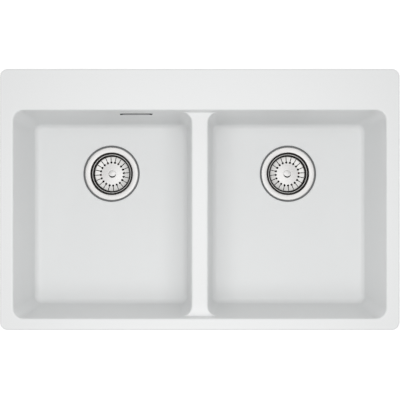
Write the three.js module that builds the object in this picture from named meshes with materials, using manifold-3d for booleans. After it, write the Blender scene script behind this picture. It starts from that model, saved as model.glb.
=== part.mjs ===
// A drop-in double bowl kitchen sink in moulded stone composite, with its two basket strainer wastes,
// its overflow, the waste pipework with a bottle trap, and the clips that pull it down on a worktop.
//
// Units are millimetres. The origin is the middle of the worktop cut-out, on the worktop's top face:
// +X is to the right, +Y is towards the tap ledge at the back, and +Z is up. The rim's underside is z = 0.

import * as THREE from "three";
import { mergeVertices } from "three/addons/utils/BufferGeometryUtils.js";
import Module from "manifold-3d";

const wasm = await Module();
wasm.setup();

// ---------------------------------------------------------------------------------------------------
// Driving dimensions
// ---------------------------------------------------------------------------------------------------

// Fits
const seatGap = 0.1; // between flat faces that press together
const slipGap = 0.4; // radial, between pieces that slide or turn in each other
const past = 1; // how far a cutting tool runs past the face that it cuts

// Basin: the rim and the opening
const overallWidth = 780;
const overallDepth = 510;
const rimHeight = 9;
const rimCornerRadius = 15;
const rimEdgeRadius = 3;
const sideRim = 26;
const frontRim = 23;
const tapLedge = 81;
const cutoutOverhang = 10; // how far the rim laps over the worktop

// Basin: the bowls
const bowlDepth = 200; // rim top to the floor beside the drain
const bowlCornerRadius = 20;
const bowlCornerTaper = 0.25; // how much tighter a corner gets for each millimetre that the wall leans in
const bowlEdgeRadius = 4;
const bowlFloorRadius = 12;
const draftDegrees = 3.4;
const floorFall = 3;
const dividerWidth = 33;
const dividerDrop = 30; // rim top to the top of the divider
const dividerEdgeRadius = 4;
const wallThickness = 6.5;
const floorThickness = 10;
const bridgeThickness = 6; // of the divider's top, over the gap between the bowls

// Basin: the underside
const gussetThickness = 7;
const gussetDrop = 24;
const gussetSpacing = 115;
const tapHoleRadius = 17.5;
const tapHoleDepth = 5;
const tapHoleSpacing = 115;
const sealWidth = 5;
const sealThickness = 1.7;
const sealFromEdge = 1.8;

// Strainer wastes
const drainToBackWall = 117;
const drainClearance = 1; // radial, from the strainer's cup to the edge of the hole
const flatRoundDrain = 3; // the level band where the floor's fall ends
const flangeRecessMargin = 3.3; // from the flange's edge to the edge of its recess
const flangeRecessDepth = 3;
const flangeSealThickness = 1;
const flangeWidth = 14.4; // from the cup's wall to the flange's edge
const flangeRimHeight = 1.6;
const flangeSlopeInset = 1.1;
const sheetThickness = 1.2;
const cupMouthRadius = 4; // rounding from the flange into the cup
const cupWallRadius = 42.8;
const cupSeatDepth = 9;
const cupSeatHeight = 4;
const cupSeatWidth = 4.2; // how far the stopper's seat steps in from the cup's wall
const cupDepth = 35;
const cupBottomTaper = 3;
const cupOutletRadius = 6.5;
const cupOutletCircle = 21;
const cupOutletCount = 6;
const gasketThickness = 3;

// Strainer basket
const basketSheet = 0.8;
const basketRimDepth = 6; // below the flange's top
const basketRimGap = 0.6; // radial, from the basket's rim to the cup's wall
const basketLipWidth = 1.7;
const basketWallDepth = 5;
const basketBandHeight = 4; // upright, between the wall and the petals
const petalGap = 1.4; // radial, from the petals to the cup's wall below its seat
const petalLength = 11.8; // across the petals, measured level
const petalDrop = 5;
const basketDome = 1.2;
const slotCount = 20;
const slotWidth = 2;
const slotHoleRadius = 1.8;
const knobRadius = 8;
const knobHeight = 4.5;
const knobRimHeight = 1.2;
const knobRimInset = 0.8;
const knobTopRadius = 2;
const knobStudRadius = 2.7;
const knobStudLength = 6;
const stemRadius = 4.6;
const stemTipRadius = 3.4;
const stemTipLength = 4.5;
const stopperSealHeight = 3.2;

// Fixing screw of a strainer
const fixingHeadRadius = 8;
const fixingHeadHeight = 6;
const fixingHeadChamfer = 1;
const fixingSocketDepth = 4.8;
const fixingShankRadius = 3;
const fixingShankLength = 24;

// Waste body below each bowl
const wasteFlangeLap = 9; // from the edge of the drain hole to the flange's edge
const wasteFlangeThickness = 4;
const wasteWall = 2.6;
const wasteClearance = 1.8; // radial, round the strainer's cup
const wasteBowlDepth = 37;
const wasteConeDepth = 14;
const wasteOutletLength = 20;
const spiderRibThickness = 3;
const spiderRibCount = 3;
const spiderHubRadius = 7;
const spiderHubLength = 24;
const spiderRibInset = 1; // at its top and bottom

// Pipework
const pipeRadius = 20;
const pipeWall = 2;
const socketGap = 0.5;
const socketWall = 3.4;
const pipeInsertion = 12;
const socketSpare = 1; // a socket's depth beyond the pipe in it
const nutThreadGap = 0.8;
const nutThreadCover = 15;
const nutWall = 5;
const nutGripDepth = 2;
const nutGripCount = 8;
const nutLip = 3;
const washerHeight = 6;
const washerTaper = 1;
const bendRadius = 30;
const teeHalfLength = 46;
const teeToTrap = 37; // pipe axis to the mouth of the trap
const trapNeckLength = 20;
const trapBodyRadius = 37;
const trapWall = 3;
const trapShoulderDrop = 5;
const trapBodyHeight = 68;
const trapOutletDrop = 28; // below the trap's shoulder
const trapOutletReach = 62;
const trapThreadLength = 14;
const trapCupHeight = 68;
const trapCupTaper = 4;
const trapCupChamfer = 6;
const trapDipLength = 122;
const trapCupGrips = 8;
const trapGripHeight = 2;
const trapGripWidth = 4;
const trapSealHeight = 2;
const trapSealInset = 0.5;
const outletToBackEdge = 12; // from the end of the outlet pipe to the line of the sink's back edge

// Overflow
const overflowFromCentre = 127;
const overflowDepth = 50; // rim top to the middle of the slot
const overflowSlotWidth = 66;
const overflowSlotHeight = 12;
const overflowPadMargin = 7;
const overflowPadThickness = 5;
const overflowSealThickness = 2.5;
const overflowSealMargin = 1; // round the slot
const overflowHousingWall = 2.5;
const overflowHousingDepth = 24;
const overflowFlangeThickness = 3;
const overflowBarLength = 55;
const overflowBarHeight = 7;
const overflowBarThickness = 3;
const overflowBarProud = 0.5; // of the wall's face
const overflowHubRadius = 4.5;
const overflowScrewRadius = 1.8;
const overflowScrewHeadRadius = 3.2;
const overflowScrewHeadHeight = 1.8;
const overflowScrewBite = 8;
const overflowHubReach = 1; // how far the cover's hub reaches in the housing
const spigotRadius = 10;
const spigotBore = 8;
const spigotLength = 22;
const spigotBare = 5; // the length of a spigot that the hose leaves bare
const spigotAbove = 3; // from the bottom of the waste body's bowl to the spigot

// Overflow hose
const hoseRadius = 14;
const hoseRibDepth = 1.7;
const hoseBore = 11.2;
const hoseRibPitch = 8;
const hoseCuffLength = 25;
const hoseLead = 90; // how far the hose keeps the direction of each spigot

// Clips
const clipFromCutout = 8; // from the screw's axis to the edge of the worktop cut-out
const clipBossRadius = 7;
const clipBossDrop = 25;
const clipBackSpacing = 480;
const clipSideFromBack = 59; // from the cut-out's back edge
const clipCornerInX = 2.5; // how much further in the front corner clips stand
const clipCornerInY = 1.7;
const clipScrewRadius = 2.5;
const clipScrewTop = 12; // below the worktop's top face
const clipHeadRadius = 4.5;
const clipHeadHeight = 3.2;
const clipHeadChamfer = 1;
const clawReach = 17;
const clawWidth = 10;
const clawSheet = 2.5;
const clawRise = 11;
const clawTipDepth = 42; // from the worktop's top face to the claw's teeth, before it is tightened
const clawBendOffset = 1; // from the screw's washer face to the bend
const clawToothHeight = 3;

// Facets
const cornerSegments = 4;
const edgeSegments = 2;
const filletSegments = 3;
const cupSegments = 28;
const basketSegments = 2 * slotCount;
const bodySegments = 20;
const pipeSegments = 16;
const smallSegments = 12;
const hoseSegments = 8;
const screwSegments = 8;
const outletSegments = 6;
const bendSegments = 3;
const slotSegments = 3; // in each quarter of a slot's round end

// ---------------------------------------------------------------------------------------------------
// Shape helpers
// ---------------------------------------------------------------------------------------------------

const quarter = Math.PI / 2;
const draftAngle = THREE.MathUtils.degToRad(draftDegrees);
const draft = Math.tan(draftAngle);

// A closed geometry with only positions, as one solid whose faces point out.
function toSolid(geometry) {
  const bare = geometry.index ? geometry.toNonIndexed() : geometry.clone();
  for (const name of Object.keys(bare.attributes)) {
    if (name !== "position") bare.deleteAttribute(name);
  }
  const merged = mergeVertices(bare, 1e-4);
  const corners = merged.index.array;
  const kept = [];
  for (let i = 0; i < corners.length; i += 3) {
    const [a, b, c] = [corners[i], corners[i + 1], corners[i + 2]];
    if (a !== b && b !== c && c !== a) kept.push(a, b, c);
  }
  const build = (triVerts) =>
    new wasm.Manifold(
      new wasm.Mesh({
        numProp: 3,
        vertProperties: merged.attributes.position.array,
        triVerts: new Uint32Array(triVerts),
      }),
    );
  const solid = build(kept);
  return solid.volume() < 0 ? build(kept.reverse()) : solid;
}

function toGeometry(solid) {
  const mesh = solid.getMesh();
  const geometry = new THREE.BufferGeometry();
  const positions = new Float32Array(mesh.numVert * 3);
  for (let i = 0; i < mesh.numVert; i++) {
    positions.set(mesh.vertProperties.subarray(i * mesh.numProp, i * mesh.numProp + 3), i * 3);
  }
  geometry.setAttribute("position", new THREE.BufferAttribute(positions, 3));
  geometry.setIndex(new THREE.BufferAttribute(mesh.triVerts, 1));
  const flat = geometry.toNonIndexed();
  flat.computeVertexNormals();
  return flat;
}

function joined(...solids) {
  return solids.reduce((whole, next) => whole.add(next));
}

function cut(body, ...tools) {
  return tools.reduce((rest, tool) => rest.subtract(tool), body);
}

// A profile of [radius, height] pairs turned about the Z axis. It starts and ends on the axis, or closes on
// itself.
function revolve(profile, segments) {
  const points = profile.map(([r, z]) => new THREE.Vector2(r, z));
  const onAxis = profile[0][0] === 0 && profile[profile.length - 1][0] === 0;
  if (!onAxis) points.push(points[0].clone());
  return toSolid(new THREE.LatheGeometry(points, segments).rotateX(quarter));
}

function cylinder(radius, bottom, top, segments) {
  return revolve([[0, bottom], [radius, bottom], [radius, top], [0, top]], segments);
}

// Points on an arc about [centreR, centreZ], from one angle to another.
function arc(centreR, centreZ, radius, from, to, segments) {
  return Array.from({ length: segments + 1 }, (_, i) => {
    const angle = from + ((to - from) * i) / segments;
    return [centreR + radius * Math.cos(angle), centreZ + radius * Math.sin(angle)];
  });
}

// A skin over rings of equally many points, with a flat cap at each end, or round into itself when closed.
function skin(rings, closed = false) {
  const count = rings[0].length;
  const positions = rings.flat().flatMap((p) => [p.x, p.y, p.z]);
  const index = [];
  const bands = closed ? rings.length : rings.length - 1;
  for (let k = 0; k < bands; k++) {
    const low = k * count;
    const high = ((k + 1) % rings.length) * count;
    for (let i = 0; i < count; i++) {
      const j = (i + 1) % count;
      index.push(low + i, low + j, high + j, low + i, high + j, high + i);
    }
  }
  if (!closed) {
    const last = (rings.length - 1) * count;
    for (let i = 1; i < count - 1; i++) {
      index.push(0, i + 1, i);
      index.push(last, last + i, last + i + 1);
    }
  }
  const geometry = new THREE.BufferGeometry();
  geometry.setAttribute("position", new THREE.Float32BufferAttribute(positions, 3));
  geometry.setIndex(index);
  return toSolid(geometry);
}

// A level outline of a rectangle with rounded corners, anticlockwise from above.
function roundedRectangle({ left, right, front, back }, radius, z) {
  const corners = [
    [right - radius, back - radius],
    [left + radius, back - radius],
    [left + radius, front + radius],
    [right - radius, front + radius],
  ];
  return corners.flatMap(([x, y], corner) =>
    Array.from({ length: cornerSegments + 1 }, (_, i) => {
      const angle = quarter * (corner + i / cornerSegments);
      return new THREE.Vector3(x + radius * Math.cos(angle), y + radius * Math.sin(angle), z);
    }),
  );
}

// A level circle with as many points as a rounded rectangle, each facing its corner.
function circleToCorners(x, y, radius, z) {
  const count = 4 * (cornerSegments + 1);
  return Array.from({ length: count }, (_, i) => {
    const angle = (2 * Math.PI * (i + 0.5)) / count;
    return new THREE.Vector3(x + radius * Math.cos(angle), y + radius * Math.sin(angle), z);
  });
}

// A slot's outline: a bar with round ends, along the X axis of its plane.
function stadium(width, height) {
  const radius = height / 2;
  const shape = new THREE.Shape();
  shape.absarc(width / 2 - radius, 0, radius, -quarter, quarter);
  shape.absarc(radius - width / 2, 0, radius, quarter, 3 * quarter);
  return shape;
}

// A shape in the XZ plane, made solid from one Y to a greater one.
function extrudeAlongY(shape, from, to) {
  const settings = { depth: to - from, bevelEnabled: false, curveSegments: slotSegments };
  const geometry = new THREE.ExtrudeGeometry(shape, settings);
  return toSolid(geometry.rotateX(quarter).translate(0, to, 0));
}

function box(x0, x1, y0, y1, z0, z1) {
  const geometry = new THREE.BoxGeometry(x1 - x0, y1 - y0, z1 - z0);
  return toSolid(geometry.translate((x0 + x1) / 2, (y0 + y1) / 2, (z0 + z1) / 2));
}

// A round tube's rings along a path of {point, direction}, all turned as little as the path allows.
function pipeRings(stations, radiusAt, sides) {
  let side = new THREE.Vector3(1, 0, 0);
  if (Math.abs(stations[0].direction.x) > 0.9) side = new THREE.Vector3(0, 1, 0);
  return stations.map(({ point, direction }, k) => {
    side = side.clone().addScaledVector(direction, -side.dot(direction)).normalize();
    const other = new THREE.Vector3().crossVectors(direction, side);
    return Array.from({ length: sides }, (_, i) => {
      const angle = (2 * Math.PI * i) / sides;
      return point
        .clone()
        .addScaledVector(side, radiusAt(k) * Math.cos(angle))
        .addScaledVector(other, radiusAt(k) * Math.sin(angle));
    });
  });
}

// ---------------------------------------------------------------------------------------------------
// Places that the pieces share
// ---------------------------------------------------------------------------------------------------

const cutoutX = overallWidth / 2 - cutoutOverhang;
const cutoutY = overallDepth / 2 - cutoutOverhang;
const openingX = overallWidth / 2 - sideRim;
const openingBack = overallDepth / 2 - tapLedge;
const openingFront = frontRim - overallDepth / 2;
const floorZ = rimHeight - bowlDepth;
const underZ = floorZ - floorThickness;
// The depth at which the walls start to turn into the floor
const filletDepth = bowlDepth - floorFall - bowlFloorRadius * (1 - Math.sin(draftAngle));
const outerLeanAtFillet = (filletDepth - bowlEdgeRadius) * draft;
const dividerLeanAtFillet = (filletDepth - dividerDrop - dividerEdgeRadius) * draft;
const drainX = (openingX - outerLeanAtFillet + dividerWidth / 2 + dividerLeanAtFillet) / 2;
const drainY = openingBack - drainToBackWall;
const drainHoleRadius = cupWallRadius + sheetThickness + drainClearance;
const flangeRadius = cupWallRadius + flangeWidth;
const flangeRecessRadius = flangeRadius + flangeRecessMargin;
const flangeZ = floorZ - flangeRecessDepth + 2 * seatGap + flangeSealThickness + flangeRimHeight;
const wasteTop = underZ - flangeZ - gasketThickness - 2 * seatGap; // from the flange's top
const socketRadius = pipeRadius + socketGap;
const threadRadius = socketRadius + socketWall;
const wasteMouth = wasteTop - wasteBowlDepth - wasteConeDepth - wasteOutletLength;
const pipeAxisZ = flangeZ + wasteMouth - washerHeight - nutLip - bendRadius;
const sides = { left: -1, right: 1 };

// ---------------------------------------------------------------------------------------------------
// Basin
// ---------------------------------------------------------------------------------------------------

// How far a bowl's outer walls stand in from the opening, at a depth below the rim's top.
function outerLean(depth) {
  return (depth - bowlEdgeRadius) * draft;
}

function cornerRadius(lean) {
  return bowlCornerRadius - lean * (lean > 0 ? bowlCornerTaper : 1);
}

// One level outline of a bowl. outer is its lean at the three outer walls, inner its lean at the divider.
function bowlOutline(side, outer, inner, depth, grow = 0) {
  const far = openingX - outer + grow;
  const near = dividerWidth / 2 + inner - grow;
  const edges = {
    left: side < 0 ? -far : near,
    right: side < 0 ? -near : far,
    front: openingFront + outer - grow,
    back: openingBack - outer + grow,
  };
  return roundedRectangle(edges, cornerRadius(outer) + grow, rimHeight - depth);
}

// The space of one bowl below the divider's top, with its floor, the flange's recess and the drain hole.
function bowlSpace(side) {
  const rings = [bowlOutline(side, outerLean(dividerDrop), -dividerEdgeRadius, dividerDrop)];
  rings.unshift(rings[0].map((p) => p.clone().setZ(p.z + past)));
  for (const [r, z] of arc(0, 0, dividerEdgeRadius, 0, quarter, edgeSegments).slice(1)) {
    const depth = dividerDrop + dividerEdgeRadius - r;
    rings.push(bowlOutline(side, outerLean(depth), z - dividerEdgeRadius, depth));
  }
  for (let i = 0; i <= filletSegments; i++) {
    const angle = draftAngle + ((quarter - draftAngle) * i) / filletSegments;
    const turn = bowlFloorRadius * (Math.cos(draftAngle) - Math.cos(angle));
    const depth = bowlDepth - floorFall - bowlFloorRadius * (1 - Math.sin(angle));
    rings.push(bowlOutline(side, outerLeanAtFillet + turn, dividerLeanAtFillet + turn, depth));
  }
  const x = side * drainX;
  rings.push(circleToCorners(x, drainY, flangeRecessRadius + flatRoundDrain, floorZ));
  const recess = cylinder(flangeRecessRadius, floorZ - flangeRecessDepth, floorZ + past, cupSegments);
  const hole = cylinder(drainHoleRadius, underZ - past, floorZ, cupSegments);
  return joined(skin(rings.reverse()), joined(recess, hole).translate([x, drainY, 0]));
}

// The space above the divider, over both bowls, with the rounded edge where it meets the rim's top.
function upperSpace() {
  const outline = (lean, z) => {
    const x = openingX - lean;
    const edges = { left: -x, right: x, front: openingFront + lean, back: openingBack - lean };
    return roundedRectangle(edges, cornerRadius(lean), z);
  };
  const edge = arc(0, 0, bowlEdgeRadius, 0, quarter, edgeSegments).map(([r, z]) =>
    outline(r - bowlEdgeRadius, rimHeight - bowlEdgeRadius + z),
  );
  return skin([
    outline(outerLean(dividerDrop), rimHeight - dividerDrop),
    ...edge,
    outline(-bowlEdgeRadius, rimHeight + past),
  ]);
}

// The outside of one bowl, from inside the rim's slab down to the flat underside.
function bowlShell(side) {
  const turnRadius = bowlFloorRadius + wallThickness;
  const bottom = bowlDepth + floorThickness;
  const start = bottom - turnRadius * (1 - Math.sin(draftAngle));
  const inner = (depth) => Math.max(0, depth - dividerDrop - dividerEdgeRadius) * draft;
  const rings = [rimHeight / 2, dividerDrop + dividerEdgeRadius].map((depth) =>
    bowlOutline(side, outerLean(depth), inner(depth), depth, wallThickness),
  );
  for (let i = 0; i <= filletSegments; i++) {
    const angle = draftAngle + ((quarter - draftAngle) * i) / filletSegments;
    const turn = turnRadius * (Math.cos(draftAngle) - Math.cos(angle));
    const depth = bottom - turnRadius * (1 - Math.sin(angle));
    rings.push(bowlOutline(side, outerLean(start) + turn, inner(start) + turn, depth, wallThickness));
  }
  return skin(rings.reverse());
}

// A level outline that follows the rim's edge, inset from it.
function rimOutline(inset, z) {
  const x = overallWidth / 2 - inset;
  const y = overallDepth / 2 - inset;
  return roundedRectangle({ left: -x, right: x, front: -y, back: y }, rimCornerRadius - inset, z);
}

function rimSlab() {
  const rounded = arc(0, 0, rimEdgeRadius, 0, quarter, edgeSegments).map(([r, z]) =>
    rimOutline(rimEdgeRadius - r, rimHeight - rimEdgeRadius + z),
  );
  return skin([rimOutline(0, 0), ...rounded]);
}

// The groove for the seal, or the seal itself when both are given the same values less a gap.
function rimRing(fromEdge, width, bottom, top) {
  const inside = fromEdge + width;
  const section = [
    [fromEdge, bottom],
    [fromEdge, top],
    [inside, top],
    [inside, bottom],
  ];
  return skin(section.map(([inset, z]) => rimOutline(inset, z)), true);
}

// A rib under the tap ledge, from the bowls' back wall to the worktop's edge.
function gusset(x) {
  const start = openingBack;
  const end = cutoutY - clipFromCutout;
  const shape = new THREE.Shape([
    new THREE.Vector2(start, rimHeight / 2),
    new THREE.Vector2(start, -2 * gussetDrop),
    new THREE.Vector2(start + wallThickness, -2 * gussetDrop),
    new THREE.Vector2(end, -gussetDrop / 2),
    new THREE.Vector2(end, rimHeight / 2),
  ]);
  const geometry = new THREE.ExtrudeGeometry(shape, { depth: gussetThickness, bevelEnabled: false });
  geometry.rotateX(quarter).rotateZ(quarter);
  geometry.translate(x - gussetThickness / 2, 0, 0);
  return toSolid(geometry);
}

// Where the clips hang: their screws' axes, and which way each claw points when it grips.
const clipPlaces = (() => {
  const x = cutoutX - clipFromCutout;
  const y = cutoutY - clipFromCutout;
  return [
    { name: "front_left", x: clipCornerInX - x, y: clipCornerInY - y, turn: -quarter },
    { name: "front_middle", x: 0, y: -y, turn: -quarter },
    { name: "front_right", x: x - clipCornerInX, y: clipCornerInY - y, turn: -quarter },
    { name: "side_left", x: -x, y: cutoutY - clipSideFromBack, turn: 2 * quarter },
    { name: "side_right", x, y: cutoutY - clipSideFromBack, turn: 0 },
    { name: "back_left", x: -clipBackSpacing / 2, y, turn: quarter },
    { name: "back_right", x: clipBackSpacing / 2, y, turn: quarter },
  ];
})();

const clipHoleTop = rimHeight / 3;
const clipTipClear = clipBossDrop + bridgeThickness; // below the boss and the divider's bridge

function clipBoss({ x, y }) {
  return cylinder(clipBossRadius, -clipBossDrop, rimHeight / 2, screwSegments).translate([x, y, 0]);
}

function clipHole({ x, y }) {
  const hole = cylinder(clipScrewRadius + slipGap, -clipTipClear, clipHoleTop, screwSegments);
  return hole.translate([x, y, 0]);
}

const overflowZ = rimHeight - overflowDepth;
const overflowWallY = openingBack - outerLean(overflowDepth); // the wall's face at the slot
const overflowPadY = openingBack + wallThickness + overflowPadThickness / 2;

function overflowPad() {
  const wide = overflowSlotWidth + 2 * overflowPadMargin;
  const high = overflowSlotHeight + 2 * overflowPadMargin;
  const shape = stadium(wide, high);
  const pad = extrudeAlongY(shape, openingBack - wallThickness / 2, overflowPadY);
  return pad.translate([-overflowFromCentre, 0, overflowZ]);
}

function overflowSlot() {
  const shape = stadium(overflowSlotWidth, overflowSlotHeight);
  const slot = extrudeAlongY(shape, overflowWallY - past, overflowPadY + past);
  return slot.translate([-overflowFromCentre, 0, overflowZ]);
}

function basin() {
  const bridgeTop = rimHeight - dividerDrop;
  const bridgeX = dividerWidth / 2 + bowlCornerRadius;
  const bridge = box(
    -bridgeX,
    bridgeX,
    openingFront - wallThickness,
    openingBack + wallThickness,
    bridgeTop - bridgeThickness,
    rimHeight / 2,
  );
  const gussets = [-2.5, -1.5, 1.5, 2.5].map((step) => gusset(step * gussetSpacing));
  const bosses = clipPlaces.map(clipBoss);
  const tapHoles = [0, 1].map((step) =>
    cylinder(tapHoleRadius, -past, tapHoleDepth, pipeSegments).translate([
      step * tapHoleSpacing,
      overallDepth / 2 - tapLedge / 2,
      0,
    ]),
  );
  const body = joined(rimSlab(), bowlShell(-1), bowlShell(1), bridge, overflowPad(), ...gussets, ...bosses);
  const grooveTop = sealThickness + 2 * seatGap;
  const groove = rimRing(sealFromEdge - slipGap, sealWidth + 2 * slipGap, -past, grooveTop);
  return cut(
    body,
    upperSpace(),
    bowlSpace(-1),
    bowlSpace(1),
    overflowSlot(),
    groove,
    ...clipPlaces.map(clipHole),
    ...tapHoles,
  );
}

function rimSeal() {
  return rimRing(sealFromEdge, sealWidth, seatGap, sealThickness + seatGap);
}

// ---------------------------------------------------------------------------------------------------
// Strainer waste. Heights are from the flange's top face, on the drain's axis.
// ---------------------------------------------------------------------------------------------------

const cupFloor = -cupDepth;
const cupHubRadius = fixingShankRadius + slipGap;
const cupMouthEdge = cupWallRadius + cupMouthRadius;
const cupLowerRadius = cupWallRadius - cupSeatWidth;
const seatBottom = -cupSeatDepth - cupSeatHeight;
const cupBottomRadius = cupLowerRadius - cupBottomTaper;

// The pressed cup: flange, rounded mouth, wall, the cone for the stopper's seal, and the pierced bottom.
function strainerCup() {
  const t = sheetThickness;
  const top = [
    [flangeRadius, -flangeRimHeight / 2],
    [flangeRadius - flangeSlopeInset, 0],
    ...arc(cupMouthEdge, -cupMouthRadius, cupMouthRadius, quarter, 2 * quarter, 2),
    [cupWallRadius, -cupSeatDepth],
    [cupLowerRadius, seatBottom],
    [cupBottomRadius, cupFloor],
    [cupHubRadius, cupFloor],
  ];
  const under = [
    [cupHubRadius, cupFloor - t],
    [cupBottomRadius + t / 2, cupFloor - t],
    [cupLowerRadius + t, seatBottom - t / 2],
    [cupWallRadius + t, -cupSeatDepth - t / 2],
    ...arc(cupMouthEdge, -cupMouthRadius, cupMouthRadius - t, 2 * quarter, quarter, 2),
    [flangeRadius - flangeSlopeInset, -t],
    [flangeRadius - flangeSlopeInset, -flangeRimHeight],
    [flangeRadius, -flangeRimHeight],
  ];
  const outlet = cylinder(cupOutletRadius, cupFloor - t - past, cupFloor + past, outletSegments);
  const outlets = Array.from({ length: cupOutletCount }, (_, i) =>
    outlet.translate([cupOutletCircle, 0, 0]).rotate([0, 0, (360 * i) / cupOutletCount]),
  );
  return cut(revolve([...top, ...under], cupSegments), ...outlets);
}

function ring(inner, outer, bottom, top, segments) {
  return revolve([[inner, bottom], [outer, bottom], [outer, top], [inner, top]], segments);
}

function flangeSeal() {
  const bottom = floorZ - flangeRecessDepth - flangeZ + seatGap;
  const top = bottom + flangeSealThickness;
  return ring(cupMouthEdge, flangeRecessRadius - slipGap, bottom, top, cupSegments);
}

function bodyGasket() {
  const top = underZ - flangeZ - seatGap;
  const inner = drainHoleRadius + drainClearance;
  return ring(inner, wasteFlangeRadius, top - gasketThickness, top, bodySegments);
}

// The basket's plate, from its rim inwards: [radius, height] on its upper face.
const basketRimRadius = cupWallRadius - basketRimGap;
const petalOuterRadius = cupLowerRadius - petalGap;
const petalInnerRadius = petalOuterRadius - petalLength;
const basketRimZ = -basketRimDepth;
const bandTopZ = basketRimZ - basketWallDepth;
const petalTopZ = bandTopZ - basketBandHeight;
const petalBottomZ = petalTopZ - petalDrop;
const knobSeatZ = petalBottomZ + basketDome;

// The pressed basket: a rolled rim, a steep wall, an upright band, a cone cut in petals by keyhole slots,
// and a raised middle.
function basket() {
  const t = basketSheet;
  const top = [
    [basketRimRadius, basketRimZ - t],
    [basketRimRadius - basketLipWidth / 2, basketRimZ],
    [basketRimRadius - basketLipWidth, basketRimZ - t / 2],
    [petalOuterRadius, bandTopZ],
    [petalOuterRadius, petalTopZ],
    [petalInnerRadius, petalBottomZ],
    [knobStudRadius + slipGap, knobSeatZ],
  ];
  const under = [
    [knobStudRadius + slipGap, knobSeatZ - t],
    [petalInnerRadius + t / 2, petalBottomZ - t],
    [petalOuterRadius + t, petalTopZ - t / 2],
    [petalOuterRadius + t, bandTopZ - t / 2],
    [basketRimRadius - basketLipWidth, basketRimZ - 2 * t],
    [basketRimRadius, basketRimZ - 2 * t],
  ];
  const holeCircle = petalInnerRadius - slotHoleRadius / 2;
  const keyhole = new THREE.Shape();
  const neck = Math.asin(slotWidth / 2 / slotHoleRadius);
  keyhole.absarc(0, 0, slotHoleRadius, neck, 2 * Math.PI - neck);
  keyhole.lineTo(petalOuterRadius - holeCircle - t, -slotWidth / 2);
  keyhole.lineTo(petalOuterRadius - holeCircle - t, slotWidth / 2);
  const settings = { depth: petalDrop + 4 * t, bevelEnabled: false, curveSegments: slotSegments };
  const tool = toSolid(new THREE.ExtrudeGeometry(keyhole, settings));
  const quarterStep = 0.25; // turns the slots off the plate's facets
  const slots = Array.from({ length: slotCount }, (_, i) =>
    tool
      .translate([holeCircle, 0, petalBottomZ - 2 * t])
      .rotate([0, 0, (360 * (i + quarterStep)) / slotCount]),
  );
  return cut(revolve([...top, ...under], basketSegments), ...slots);
}

// The rubber lip under the basket's rim, which closes on the cup's cone.
function basketSeal() {
  const t = basketSheet;
  const top = basketRimZ - 2 * t - seatGap;
  const bottom = top - stopperSealHeight;
  const seatSlope = cupSeatHeight / (cupWallRadius - cupLowerRadius);
  const seatAt = (radius) => -cupSeatDepth - (cupWallRadius - radius) * seatSlope + slipGap;
  return revolve(
    [
      [petalOuterRadius + 2 * t + slipGap, bottom],
      [cupWallRadius + (bottom - slipGap + cupSeatDepth) / seatSlope, bottom],
      [basketRimRadius, seatAt(basketRimRadius)],
      [basketRimRadius, top],
      [basketRimRadius - basketLipWidth + slipGap, top],
    ],
    cupSegments,
  );
}

function basketKnob() {
  const bottom = knobSeatZ + seatGap;
  const stud = bottom - knobStudLength;
  const dome = arc(0, 0, 1, 0, quarter, slotSegments).map(([c, s]) => [
    (knobRadius - knobTopRadius) * c * c + knobTopRadius * c,
    bottom + knobRimHeight + (knobHeight - knobRimHeight) * s,
  ]);
  dome[dome.length - 1][0] = 0;
  return revolve(
    [
      [0, stud],
      [knobStudRadius, stud],
      [knobStudRadius, bottom],
      [knobRadius - knobRimInset, bottom],
      ...dome,
    ],
    smallSegments,
  );
}

// The post under the basket. Its tip drops into the fixing screw's socket and keeps the basket central.
function basketStem() {
  const top = knobSeatZ - basketSheet - seatGap;
  const socketBottom = knobSeatZ + seatGap - knobStudLength - slipGap;
  const shoulder = cupFloor + seatGap + fixingHeadHeight + slipGap;
  return revolve(
    [
      [0, shoulder - stemTipLength],
      [stemTipRadius, shoulder - stemTipLength],
      [stemTipRadius, shoulder],
      [stemRadius, shoulder],
      [stemRadius, top],
      [knobStudRadius + slipGap, top],
      [knobStudRadius + slipGap, socketBottom],
      [0, socketBottom],
    ],
    screwSegments,
  );
}

function fixingScrew() {
  const bottom = cupFloor + seatGap;
  const top = bottom + fixingHeadHeight;
  const socket = stemTipRadius + slipGap;
  return revolve(
    [
      [0, bottom - fixingShankLength],
      [fixingShankRadius, bottom - fixingShankLength],
      [fixingShankRadius, bottom],
      [fixingHeadRadius, bottom],
      [fixingHeadRadius, top - fixingHeadChamfer],
      [fixingHeadRadius - fixingHeadChamfer, top],
      [socket, top],
      [socket, top - fixingSocketDepth],
      [0, top - fixingSocketDepth],
    ],
    screwSegments,
  );
}

const wasteFlangeRadius = drainHoleRadius + wasteFlangeLap;
const wasteInner = cupLowerRadius + sheetThickness + wasteClearance;
const spigotAxisZ = wasteTop - wasteBowlDepth + spigotRadius + spigotAbove; // on the left waste body
const spigotReach = wasteInner + wasteWall + spigotLength;

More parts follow.
